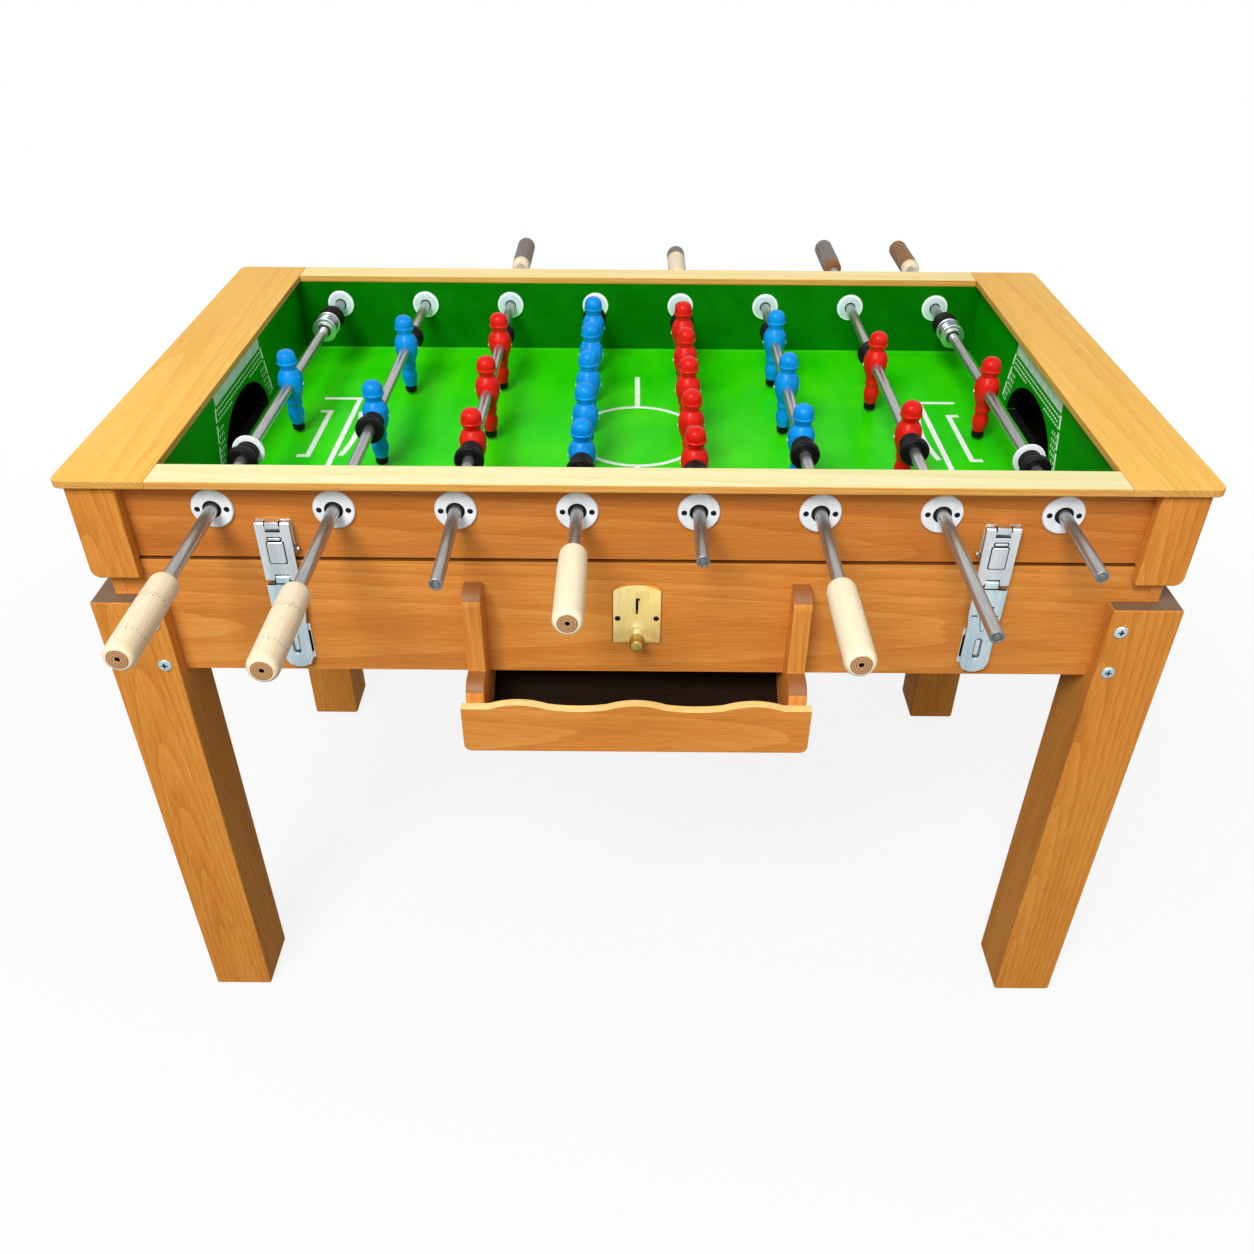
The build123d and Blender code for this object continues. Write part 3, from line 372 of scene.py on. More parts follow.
EDGE_BIRCH = sawn_wood("birch_sawn_edge", "#b87c34 #d39a4a #e0b066", 6, 2.0, 0.48)
TRAY_EDGE = sawn_wood("birch_ply_sawn_edge", "#e3b563 #f3d288 #fae3a8", 4, 1.6, 0.55)
ROUGH_PLY = sawn_wood("birch_ply_unfinished", "#9a7444 #b08a58 #c29d6c", 11, 2.6, 0.6)
# Dark stained ply, made darker still as painted shade inside the lower box, on the tray's floor and on the
# ball ramps
DARK_STAIN_AND_SHADE_BOARD = sawn_wood("dark_stained_ply_and_painted_shade", "#140902 #1c0e03 #241306", 8, 2.2, 0.55)
HANDLE_WOOD = sawn_wood("turned_hornbeam", "#e2c493 #ebd9ba #efe4ce", 7, 1.8, 0.5, flecks="#8a5a34")
CLEAR_HANDLE = sawn_wood("turned_hornbeam_clear", "#e8d2a5 #efe1c0 #f2ead2", 7, 1.8, 0.5)
GREY_HANDLE = sawn_wood("turned_walnut_greyed", "#58504a #776d65 #91877f", 6, 1.8, 0.5)
BROWN_HANDLE = sawn_wood("turned_walnut_brown", "#654224 #8a5e37 #a4764a", 6, 1.8, 0.5)
HANDLE_END = end_grain("hornbeam_end_grain", "#8f5e38 #c59b6a", 2.6)
LEG_END = end_grain("beech_end_grain", "#70543c #7d6047", 4.5)
BRACKET_END = end_grain("beech_end_grain_rounded", "#8a5527 #996231", 3.5)
FIELD_GREEN = lacquered_board("field_green_lacquer", "#18c801 #2bd702 #45e105", 0.3)
# One green lacquer in two copies: darker on the long walls as painted shade, lighter on the goal walls as
# painted light where the lamp falls on them
SHADED_WALL_GREEN = lacquered_board("wall_green_lacquer", "#025e02 #036b02 #057a04", 0.38)
LIT_GOAL_GREEN = lacquered_board("goal_wall_green_lacquer_painted_light", "#037c02 #048c02 #069a04", 0.38)
# Painted shade: black for the dark inside of the goal pockets, on the end panels' inner faces, in the goal
# arches and on the field under them
GOAL_POCKET_SHADE = moulded("goal_pocket_painted_shade", "#050505 #0b0b0a", 0.7)
LINE_WHITE = moulded("line_white_paint", "#f2f5ee #fdfefb", 0.42)
LINE_PALE_GREEN = moulded("line_pale_green_paint", "#2fd41a #4ee433", 0.42)
BAR_GREY = moulded("goal_bar_grey_paint", "#c3d0d3 #dbe5e7", 0.45)
BLUE_PLASTIC = moulded("blue_abs_moulded", "#027dcf #0490e6", 0.3)
RED_PLASTIC = moulded("red_abs_moulded", "#c9140b #de1e13", 0.3)
# Black enamel of the men's boots; the same black is painted shade round pressings, in hasp gaps, at knuckle
# ends, round screw rims, beside the staples, in the coin slot's hook and in the handles' screw holes
BOOT_BLACK_AND_PAINTED_SHADE = moulded("boot_black_enamel_and_painted_shade", "#060606 #101010", 0.3)
BLACK_RUBBER = moulded("black_rubber_moulded", "#090909 #141414", 0.45, speck_mm=1.2, bump_strength=0.12)
WHITE_NYLON = moulded("white_nylon_moulded", "#e4eaed #f2f6f8", 0.38)
GREY_NYLON = moulded("grey_nylon_moulded", "#bccfd6 #cbdce1", 0.38)
# Blackened steel of the screws and the coin works; in the bolts' cross recesses the same dark is painted
# shade
DARK_STEEL_AND_RECESS_SHADE = worked_metal("blackened_steel_pressed_and_recess_shade", "#16171a #2b2d31", 0.4, (1, 1, 1), 1.5)
ROD_STEEL = worked_metal("rod_steel_ground", "#8c8e8e #c6c6c4", 0.26, (1, 0.04, 1), 1.2, metallic=0.85)
ROD_END = worked_metal("rod_steel_sawn_end", "#5f6265 #8b8f92", 0.5, (1, 1, 1), 0.9, metallic=0.7)
ZINC = worked_metal("zinc_plated_steel_pressed", "#c8d1d6 #eef4f6", 0.3, (1, 1, 0.15), 1.6)
SPRING_STEEL = worked_metal("spring_steel_drawn", "#7d878c #b4bdc2", 0.3, (1, 0.3, 1), 1.2)
BLUE_ZINC = worked_metal("zinc_plated_steel_blue_chromated", "#a9c6d2 #def0f5", 0.3, (1, 1, 0.15), 1.6)
OLD_BRASS = worked_metal("brass_turned_tarnished", "#8a7434 #cfb468", 0.4, (1, 0.1, 1), 1.2)
BRASS = worked_metal("brass_brushed", "#f7cf6a #fff0a6", 0.45, (1, 1, 0.08), 1.4, metallic=0.35)

# Shapes

WAYS = {
    "+z": np.array([(1, 0, 0), (0, 1, 0), (0, 0, 1)], float),
    "+y": np.array([(1, 0, 0), (0, 0, 1), (0, -1, 0)], float),
    "-y": np.array([(1, 0, 0), (0, 0, -1), (0, 1, 0)], float),
    "+x": np.array([(0, 0, 1), (0, 1, 0), (-1, 0, 0)], float),
    "-x": np.array([(0, 0, -1), (0, 1, 0), (1, 0, 0)], float),
}


def quads(rows, columns, close_rows=False):
    """Four-sided faces of a grid of points kept row by row, whose rows run round; closed rows run on from the
    last to the first."""
    i = np.arange(rows if close_rows else rows - 1)[:, None]
    j = np.arange(columns)[None, :]
    here = i * columns
    above = (i + 1) % rows * columns
    beside = (j + 1) % columns
    return np.stack([here + j, here + beside, above + beside, above + j], -1).reshape(-1, 4).tolist()


def capped(rows):
    """Closed surface from rows of points in millimetres: the rows run round, and a flat face closes the first
    row and the last."""
    count, sides = rows.shape[:2]
    last = (count - 1) * sides
    caps = [list(range(sides))[::-1], list(range(last, last + sides))]
    return rows.reshape(-1, 3) * MM, quads(count, sides) + caps


def circles(profile, sides):
    """Rows of points about Z: each (radius, height) point of a profile goes round in equal turns, at radius
    times (cosine, sine)."""
    r, h = np.array(profile, float).T
    angle = 2 * pi * np.arange(sides) / sides
    return np.stack([np.outer(r, np.cos(angle)), np.outer(r, np.sin(angle)), np.outer(h, np.ones(sides))], -1)


def turned(profile, sides=FINE_TURN):
    """Turned shape about Z in millimetres: circles through the points of an open profile, closed by discs."""
    return capped(circles(profile, sides))


def hoop(profile, sides=FINE_TURN):
    """Ring about Z in millimetres: circles through the points of a closed profile."""
    rows = circles(profile, sides)
    return rows.reshape(-1, 3) * MM, quads(len(rows), sides, close_rows=True)


def softened(points, radius, steps=4, closed=False):
    """Polyline with its corners rounded: each corner becomes a quadratic curve between the points that lie
    a radius before and after it, or nearly half a side where that is shorter."""
    points = np.array(points, float)
    before = np.roll(points, 1, 0) - points
    after = np.roll(points, -1, 0) - points
    long_before = np.linalg.norm(before, axis=1, keepdims=True)
    long_after = np.linalg.norm(after, axis=1, keepdims=True)
    start = points + before / long_before * np.minimum(radius, 0.48 * long_before)
    end = points + after / long_after * np.minimum(radius, 0.48 * long_after)
    t = np.linspace(0, 1, steps + 1)[None, :, None]
    curve = (1 - t) ** 2 * start[:, None] + 2 * t * (1 - t) * points[:, None] + t ** 2 * end[:, None]
    if closed:
        return curve.reshape(-1, points.shape[1])
    return np.concatenate([points[:1], curve[1:-1].reshape(-1, points.shape[1]), points[-1:]])


def soft_hoop(profile, radius, steps):
    """Ring about Z whose closed profile has rounded corners."""
    return hoop(softened(profile, radius, steps, closed=True))


def flowing(stations, steps=5):
    """Smooth line through (radius, height) stations: between two of them a cubic whose slope at each station
    is half the step from the one before it to the one after it."""
    p = np.array(stations, float)
    p = np.concatenate([2 * p[:1] - p[1:2], p, 2 * p[-1:] - p[-2:-1]])
    t = np.linspace(0, 1, steps, endpoint=False)[None, :, None]
    a, b, c, d = (p[i:len(p) - 3 + i, None] for i in range(4))
    bend = t ** 2 * (a - 2.5 * b + 2 * c - d / 2) + t ** 3 * (1.5 * (b - c) + (d - a) / 2)
    line = b + t * (c - a) / 2 + bend
    return np.concatenate([line.reshape(-1, 2), p[-2:-1]])


def slab(outline, layers):
    """Flat plate about Z in millimetres: a closed outline, shrunk about its centre by an inset and lifted to
    a height for each (inset, height) layer; flat faces close both ends."""
    outline = np.array(outline, float)
    centre = (outline.min(0) + outline.max(0)) / 2
    reach = (outline.max(0) - outline.min(0)) / 2
    inset, height = np.array(layers, float).T[:, :, None, None]
    flat = centre + (outline - centre) * (1 - inset / reach)
    return capped(np.concatenate([flat, height + 0 * flat[..., :1]], -1))


def round_box(width, height, radius, steps=5):
    """Outline of a rectangle about its centre with rounded corners."""
    half = np.array([width, height]) / 2
    return softened(np.array([(-1, -1), (1, -1), (1, 1), (-1, 1)]) * half, radius * 1.6, steps, closed=True)


def plate(width, height, radius, top, foot=-0.5):
    """Flat plate about Z with rounded corners, in millimetres, from its foot to its top."""
    return slab(round_box(width, height, radius), [(0, foot), (0, top)])


def paint_plate(outline):
    """Thin plate of paint about Z in millimetres, from a closed outline."""
    return slab(outline, [(0, -PAINT_SUNK), (0, PAINT_PROUD)])


def paint_arc(radius, width, start, end, steps=40):
    """Flat band of paint on a circle about Z in millimetres, between two angles in degrees: a rectangle
    carried along the arc, closed at both ends."""
    angle = np.radians(np.linspace(start, end, steps))
    r = radius + np.array([-1, 1, 1, -1]) * width / 2
    h = np.array([-PAINT_SUNK, -PAINT_SUNK, PAINT_PROUD, PAINT_PROUD])
    return capped(np.stack([np.outer(np.cos(angle), r), np.outer(np.sin(angle), r),
                            np.outer(np.ones(steps), h)], -1))


def wire(path, radius, sides=10):
    """Round wire in millimetres along a path of points: a circle carried along it, square to its direction,
    with one side kept away from the Z axis."""
    forward = np.gradient(path, axis=0)
    forward /= np.linalg.norm(forward, axis=1, keepdims=True)
    away = path * (1, 1, 0)
    away -= (away * forward).sum(1, keepdims=True) * forward
    away /= np.linalg.norm(away, axis=1, keepdims=True)
    across = np.cross(forward, away)
    angle = (2 * pi * np.arange(sides) / sides)[:, None]
    return capped(path[:, None] + radius * (away[:, None] * np.cos(angle) + across[:, None] * np.sin(angle)))


def screw_head(radius, sunk, height, steps=5):
    """Round screw head about Z in millimetres: a quarter ellipse from the full radius at the base to the axis
    at its height, on a foot that is sunk below the base."""
    t = np.linspace(0, pi / 2, steps + 1)[:-1]
    cap = np.stack([radius * np.cos(t), height * np.sin(t)], -1)
    return turned(np.concatenate([[(0.3, -sunk)], cap, [(0.15 * radius / steps, height)]]), SMALL_TURN)


def placed(surface, way, at, material):
    """A surface made about Z, turned to one of five ways and moved to a place in metres, and its material."""
    points, faces = surface
    return (points @ WAYS[way].T + np.array(at, float), faces), material


# Pieces

END_FACING = 0.7
PITH_STEP = 0.013
BOARD_STEP = 1.7


def lay_grain(mesh, pith=(0.2, 0.25), tilt=0.0, along=(), turn_ends=False):
    """Wood coordinates of every face corner, in metres: along the grain, across it, and into the board. These
    are the board's ways from the longest to the shortest, unless the first ones are given; turned ends have
    them along Y, Z and X. The pith is where the rings' centre lies from the board's middle, and the tilt lets
    the rings run out of the face, which draws flames."""
    points = read(mesh.vertices, "co", 3)
    part = linked(len(points), read(mesh.edges, "vertices", 2, int))
    corner = read(mesh.loops, "vertex_index", kind=int)
    sideways = np.abs(read(mesh.polygons, "normal", 3)[:, 0]) > END_FACING
    sideways = np.repeat(sideways, read(mesh.polygons, "loop_total", kind=int))
    grain = np.empty((len(corner), 3))
    for k in range(part.max() + 1):
        own = points[part == k]
        order = np.argsort(own.min(0) - own.max(0), kind="stable")
        order = np.array([*along] + [axis for axis in order if axis not in along])
        here = part[corner] == k
        local = points[corner[here]] - (own.min(0) + own.max(0)) / 2
        board = local[:, order]
        if turn_ends:
            board = np.where(sideways[here][:, None], local[:, [1, 2, 0]], board)
        board[:, 1] += pith[0] + PITH_STEP * (k % 3)
        board[:, 2] += pith[1] + tilt * board[:, 0]
        board[:, 0] += BOARD_STEP * k
        grain[here] = board
    mesh.attributes.new("grain", "FLOAT_VECTOR", "CORNER").data.foreach_set("vector", grain.ravel())


def in_scene(name, data):
    """A new object of the scene with the given data."""
    made = bpy.data.objects.new(name, data)
    bpy.context.scene.collection.objects.link(made)
    return made


def show(name, mesh, body, stands_for=()):
    """Puts a finished mesh into the scene as one piece that rides on a body and stands for CAD nodes."""
    mesh.shade_smooth()
    mesh.set_sharp_from_angle(angle=SHADED_ANGLE)
    piece = in_scene(name, mesh)
    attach(piece, body)
    if stands_for:
        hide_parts(*stands_for)
    return piece


def stand_in(name, word, mesh):
    """Shows a mesh as the one piece that stands for a CAD node and rides on its body."""
    return show(f"{name}_{word}", mesh, node_body(name), [name])


@contextmanager
def opened(mesh):
    """A mesh opened for editing, and written back at the end."""
    work = bmesh.new()
    work.from_mesh(mesh)
    yield work
    work.to_mesh(mesh)
    work.free()


def assemble(name, parts):
    """One mesh from (surface, material) pairs, with the faces of its closed surfaces turned outwards."""
    mesh = bpy.data.meshes.new(name)
    materials = list(dict.fromkeys(material for surface, material in parts))
    starts = np.cumsum([0] + [len(points) for (points, own), material in parts])
    faces = [[corner + start for corner in face]
             for ((points, own), material), start in zip(parts, starts) for face in own]
    mesh.from_pydata(np.concatenate([points for (points, own), material in parts]).tolist(), [], faces)
    for material in materials:
        mesh.materials.append(material)
    index = [materials.index(material) for (points, own), material in parts for face in own]
    mesh.polygons.foreach_set("material_index", index)
    mesh.update()
    with opened(mesh) as work:
        bmesh.ops.recalc_face_normals(work, faces=work.faces)
    return mesh


def eased(name, width, segments=3):
    """Mesh of a CAD node with its doubles merged, flat faces joined and sharp edges rounded by a width."""
    mesh = frame["nodes"][name].data.copy()
    mesh.materials.clear()
    with opened(mesh) as work:
        bmesh.ops.remove_doubles(work, verts=work.verts, dist=DOUBLES)
        bmesh.ops.dissolve_limit(work, angle_limit=FLAT_ANGLE, verts=work.verts, edges=work.edges)
        sharp = [edge for edge in work.edges if edge.is_manifold and edge.calc_face_angle() > EASED_ANGLE]
        bmesh.ops.bevel(work, geom=sharp, offset=width, segments=segments, profile=0.5, affect="EDGES",
                        clamp_overlap=True)
    return mesh


def cut_back(mesh):
    """Cuts the outer face of a lid panel back along its foot, which leaves a shadow line above the lower box:
    points below a level plane that lie on that face move inwards by one depth."""
    level = JOINT_Z + JOINT_SHADOW
    with opened(mesh) as work:
        geometry = [*work.verts, *work.edges, *work.faces]
        bmesh.ops.bisect_plane(work, geom=geometry, plane_co=(0, 0, level), plane_no=(0, 0, 1))
    points = read(mesh.vertices, "co", 3)
    across = np.abs(points[:, 1])
    foot = (points[:, 2] < level - SLACK) & (across > across.max() - BOARD_EASING)
    points[foot, 1] -= np.sign(points[foot, 1]) * JOINT_DEPTH
    mesh.vertices.foreach_set("co", points.ravel())
    mesh.update()


def boards(name, material, others=(), slot="stained_wood", width=BOARD_EASING, shadow_line=False, **grain):
    """Boards of a CAD node with eased edges and wood grain; others are (material, test) pairs, where the
    test picks faces by their centres and normals."""
    mesh = eased(name, width)
    if shadow_line:
        cut_back(mesh)
    lay_grain(mesh, **grain)
    mesh.materials.append(material)
    centres, normals = (read(mesh.polygons, field, 3) for field in ("center", "normal"))
    index = np.zeros(len(centres), int)
    for number, (other, test) in enumerate(others, 1):
        mesh.materials.append(other)
        index[test(centres, normals)] = number
    mesh.polygons.foreach_set("material_index", index)
    piece = stand_in(name, "eased", mesh)
    piece.modifiers.new("flat_faces_shade_flat", "WEIGHTED_NORMAL").keep_sharp = True


# Wooden boards; shares of a face's normal that tell which way it looks, and reaches in metres
SQUARELY = 0.9
EDGE_TILT = 0.75
HALFWAY = 0.5
JOINT_FACING = 0.35
TRAY_EDGE_FACING = 0.6
TRAY_FLOOR_FACING = 0.3
BRACKET_END_FACING = 0.45
WELL_REACH = 1.0 * MM
JOINT_REACH = 3.0 * MM
ARCH_BELOW_TOP = 20 * MM


def inwards(centres, normals, axis):
    """Share of each normal that points along an axis to the middle of the table."""
    return -normals[:, axis] * np.sign(centres[:, axis])


def upwards(least):
    """Test for faces that look up by at least a share."""
    return lambda centres, normals: normals[:, 2] > least


def board_edge(centres, normals):
    """Narrow faces of a level board."""
    return np.abs(normals[:, 2]) < EDGE_TILT


def inside_well(centres, normals):
    """Faces of a long panel that look into the playing well."""
    at_well = np.abs(np.abs(centres[:, 1]) - WELL_Y) < WELL_REACH
    return at_well & (inwards(centres, normals, 1) > SQUARELY)


def inside_base(centres, normals):
    """Faces of the lower box that look inwards."""
    return (inwards(centres, normals, 0) > SQUARELY) | (inwards(centres, normals, 1) > SQUARELY)


def lid_joint(centres, normals):
    """Faces that look into the joint between the lower box and the lid, where the wood is painted dark as the
    joint's shade.
    """
    return (np.abs(normals[:, 2]) > JOINT_FACING) & (np.abs(centres[:, 2] - JOINT_Z) < JOINT_REACH)


def goal_hole(centres, normals):
    """Faces of a goal wall inside its arch and behind it, which are painted black as the shade inside the
    goal.
    """
    arch = (np.abs(centres[:, 1]) < GOAL_ARCH[0]) & (np.abs(normals[:, 0]) < HALFWAY)
    return (inwards(centres, normals, 0) < -SQUARELY) | (arch & (centres[:, 2] < GOAL_TOP_Z - ARCH_BELOW_TOP))


def wooden_boards():
    """All boards of the table, each kind with its own wood and grain."""
    boards("legs", LEG_BEECH, [(LEG_END, upwards(SQUARELY))],
           width=LEG_EASING, pith=(0.01, 0.07), tilt=0.06, along=(2, 0))
    boards("base_front_panel", STAINED_BEECH, [
        (DARK_STAIN_AND_SHADE_BOARD, lambda centres, normals: normals[:, 1] > SQUARELY),
        (JOINT_SHADE_BEECH, lid_joint),
    ], pith=(0.02, 0.16), tilt=0.02)
    boards("base_side_panels", STAINED_BEECH, [
        (DARK_STAIN_AND_SHADE_BOARD, inside_base), (JOINT_SHADE_BEECH, lid_joint),
    ], pith=(0.03, 0.16), turn_ends=True)
    boards("tray_brackets", STAINED_BEECH, [(BRACKET_END, upwards(BRACKET_END_FACING))],
           pith=(0.02, 0.08), tilt=0.04)
    # The tray's floor takes the dark ply as stain and painted shade
    boards("tray_boards", STAINED_BEECH, [
        (TRAY_EDGE, lambda c, n: (n[:, 2] > TRAY_EDGE_FACING) & (c[:, 1] < TRAY_FRONT_Y)),
        (DARK_STAIN_AND_SHADE_BOARD, lambda c, n: (n[:, 2] > TRAY_FLOOR_FACING) & (c[:, 1] > TRAY_FRONT_Y)),
    ], width=TRAY_EASING, pith=(0.01, 0.09), tilt=0.03)
    for name in ("box_front_panel", "box_back_panel"):
        boards(name, RED_BEECH, [(SHADED_WALL_GREEN, inside_well), (JOINT_SHADE_BEECH, lid_joint)],
               shadow_line=True, pith=(0.03, 0.14), tilt=0.02)
    boards("box_end_panels", STAINED_BEECH, [
        (GOAL_POCKET_SHADE, lambda centres, normals: inwards(centres, normals, 0) > SQUARELY),
        (JOINT_SHADE_BEECH, lid_joint),
    ], pith=(0.02, 0.12), tilt=0.02)
    boards("corner_posts", LEG_BEECH,
           width=POST_EASING, pith=(0.02, 0.07), tilt=0.06, along=(2,))
    boards("goal_walls", LIT_GOAL_GREEN, [(GOAL_POCKET_SHADE, goal_hole)], "inner_board", GOAL_WALL_EASING)
    boards("playfield", FIELD_GREEN, [
        (ROUGH_PLY, lambda centres, normals: normals[:, 2] < HALFWAY),
    ], "field_lacquer", FIELD_EASING, pith=(0.03, 0.12), tilt=0.02)
    boards("top_end_boards", HONEY_BIRCH, [(EDGE_BIRCH, board_edge)], "honey_wood",
           pith=(0.03, 0.07), tilt=0.02)
    boards("top_rails", PALE_MAPLE, [
        (LIT_BACK_RAIL_MAPLE, lambda centres, normals: centres[:, 1] > 0),
        (EDGE_BIRCH, board_edge),
    ], "pale_wood", pith=(0.04, 0.12), tilt=0.01)


def inner_nodes():
    """CAD nodes that keep their own shape and get a finish."""
    for name, material in (("ball_ramps", DARK_STAIN_AND_SHADE_BOARD), ("coin_mechanism", DARK_STEEL_AND_RECESS_SHADE)):
        mesh = frame["nodes"][name].data
        mesh.materials.clear()
        mesh.materials.append(material)


# Printed lines of the field and the goals

def field_line(x0, x1, y0, y1, paint=LINE_WHITE):
    """One straight line on the field between four limits, in millimetres."""
    strip = paint_plate([(x0, y0), (x1, y0), (x1, y1), (x0, y1)])
    return placed(strip, "+z", (0, 0, FIELD_Z), paint)


def field_lines():
    """Circle, centre line, two boxes and an arc before each goal, and the joint line at the back wall."""
    half = LINE_WIDTH / 2
    parts = []
    for start in (0, 180):
        points, faces = paint_arc(CENTRE_CIRCLE, CIRCLE_LINE_WIDTH, start, start + 180)
        parts.append(placed((points * CENTRE_OVAL, faces), "+z", (0, 0, FIELD_Z), LINE_WHITE))
    centre, radius, open_angle = PENALTY_ARC
    for side in (-1, 1):
        shift = RIGHT_BOX_SHIFT if side > 0 else 0.0
        ends = sorted((side * (CENTRE_CIRCLE + CIRCLE_LINE_WIDTH / 2), side * CENTRE_LINE_END))
        parts.append(field_line(-half, half, *ends))
        for front, back, reach in (BIG_BOX, SMALL_BOX):
            across = sorted((side * (front + shift - half), side * (front + shift + half)))
            returns = sorted((side * (front + shift + half), side * (back + shift)))
            parts.append(field_line(*across, -reach - half, reach + half))
            for edge in (-reach, reach):
                parts.append(field_line(*returns, edge - half, edge + half))
        facing = 180 if side > 0 else 0
        arc = paint_arc(radius, LINE_WIDTH, facing - open_angle, facing + open_angle)
        parts.append(placed(arc, "+z", (side * (centre + shift) * MM, 0, FIELD_Z), LINE_WHITE))
    joint = WELL_Y / MM - WALL_LINE_INSET
    end = GOAL_X / MM - WALL_LINE_SHORT
    parts.append(field_line(-end, end, joint, joint + WALL_LINE_WIDTH, LINE_PALE_GREEN))
    show("field_lines", assemble("field_lines", parts), "play_box")


def wall_print(side, outline, paint=LINE_WHITE):
    """A thin plate of paint on a goal wall, from a closed (y, z) outline in millimetres."""
    y, z = np.array(outline, float).T
    way = "-x" if side > 0 else "+x"
    return placed(paint_plate(np.column_stack([side * z, y])), way, (side * GOAL_X, 0, 0), paint)


def oblong(y, z, width, height):
    """Corners of an upright rectangle about a point."""
    return [(y - width / 2, z - height / 2), (y + width / 2, z - height / 2),
            (y + width / 2, z + height / 2), (y - width / 2, z + height / 2)]


def post_y(z):
    """Distance of the printed goal post from the middle at a height, in millimetres."""
    return GOAL_POST_TOP[0] + (GOAL_POST_TOP[1] - z) * GOAL_POST_SPREAD


def clear_of_arch(y, z):
    """Whether a dash of the net stays clear of the goal's arch."""
    wide, tall = np.array(GOAL_ARCH) / MM + NET_CLEAR_OF_ARCH
    return (y / wide) ** 2 + ((z - FIELD_Z / MM) / tall) ** 2 > 1


def goal_prints():
    """Printed goal on each end wall: a grey bar, broken white posts and a dashed net; under its arch the
    field is painted black as the shade inside the goal."""
    reach, bar_low, bar_high = GOAL_BAR
    dash, thin = NET_DASH
    half = GOAL_POST_WIDTH / 2
    mouth = GOAL_ARCH[0] / MM - MOUTH_GAP
    parts = []
    for side in (-1, 1):
        bar = oblong(0, (bar_low + bar_high) / 2, 2 * reach, bar_high - bar_low)
        parts.append(wall_print(side, bar, BAR_GREY))
        for hand in (-1, 1):
            for high, low in GOAL_POST_RUNS:
                run = [(post_y(low) - half, low), (post_y(low) + half, low),
                       (post_y(high) + half, high), (post_y(high) - half, high)]
                parts.append(wall_print(side, [(hand * y, z) for y, z in run]))
            for column in NET_COLUMNS:
                for z in np.arange(GOAL_POST_RUNS[-1][1], NET_ROWS[-1] - NET_PITCH / 2, NET_PITCH):
                    y = post_y(z) - column
                    if clear_of_arch(y, z):
                        parts.append(wall_print(side, oblong(hand * y, z, thin, dash)))
        for number, z in enumerate(NET_ROWS):
            limit = post_y(z) - NET_COLUMNS[0]
            for y in np.arange(-limit + number % 2 * NET_PITCH / 2, limit, NET_PITCH):
                if clear_of_arch(y, z):
                    parts.append(wall_print(side, oblong(y, z, dash, thin)))
        sill = sorted((side * (GOAL_X / MM + SILL_GAP), side * (FIELD_END / MM - SILL_GAP)))
        parts.append(field_line(*sill, -mouth, mouth, GOAL_POCKET_SHADE))
    show("goal_prints", assemble("goal_prints", parts), "play_box")


wooden_boards()
inner_nodes()
field_lines()
goal_prints()


# Rods and what they carry, as (radius, height) profiles in millimetres

def on_rod(surface, box, side, material):
    """A turned surface set on the rod where a box lies: it points to the front (-1) or the back (1)."""
    way, start = ("+y", box[0][1]) if side > 0 else ("-y", box[1][1])
    return placed(surface, way, (middle(box)[0], start, ROD_Z), material)


MAN_STATIONS = (
    (9.0, -62.5), (10.7, -56.0), (12.2, -48.0), (11.8, -43.0), (10.2, -36.0), (11.6, -31.0), (12.2, -28.0),
    (11.6, -24.5), (12.8, -19.5), (16.0, -11.0), (18.0, -3.0), (18.6, 4.0), (17.8, 12.0), (14.6, 19.0),
    (11.6, 23.5), (12.6, 27.0), (13.8, 30.5),
)
MAN_HEAD = (
    (14.2, 34.8), (14.3, 38.5), (13.9, 42.0), (12.7, 45.6), (10.5, 48.8), (7.3, 51.0), (3.6, 51.9),
    (0.2, 52.0),
)
MAN_BOOT = ((7.8, -73.0), (9.0, -72.0), (9.4, -66.0), (9.0, -62.6))
MAN_BRIM = ((14.7, 31.3), (15.3, 32.4), (15.3, 33.4), (14.8, 34.4))
MAN_PIN = ((0.2, 15.0), (2.2, 15.0), (2.2, 19.2), (0.2, 19.2))
TEAM_PLASTIC = {"blue_plastic": BLUE_PLASTIC, "red_plastic": RED_PLASTIC}


def man_surfaces(at, plastic):
    """One man about the vertical: bulges and notches from boot to neck, a brimmed round cap, a black boot
    and the ends of the pin that holds it on the rod."""
    body = np.concatenate([flowing(MAN_STATIONS), MAN_BRIM, flowing(MAN_HEAD, 3)])
    pin = turned(softened(MAN_PIN, 0.5), SMALL_TURN)
    return [
        placed(turned(body, MIDDLE_TURN), "+z", at, plastic),
        placed(turned(softened(MAN_BOOT, 1.0), MIDDLE_TURN), "+z", at, BOOT_BLACK_AND_PAINTED_SHADE),
        placed(pin, "+x", at, WHITE_NYLON),
        placed(pin, "-x", at, WHITE_NYLON),
    ]


def rod_men(number, slot):
    """All men of one rod, in the colour of their team."""
    name = f"rod_{number}_men"
    places = [middle(box) for box in solids(name)]
    men = [man_surfaces((x, y, ROD_Z), TEAM_PLASTIC[slot]) for x, y, z in places]
    stand_in(name, "moulded", assemble(name, sum(men, [])))


ROD_TIP = ((0.3, 0.4), (3.2, 0.4), (3.6, 0.8), (3.7, 1.6), (5.2, 1.6), (5.3, 0.3), (5.6, 0.0), (6.8, 0.0))
ROD_CHAMFER = 1.2


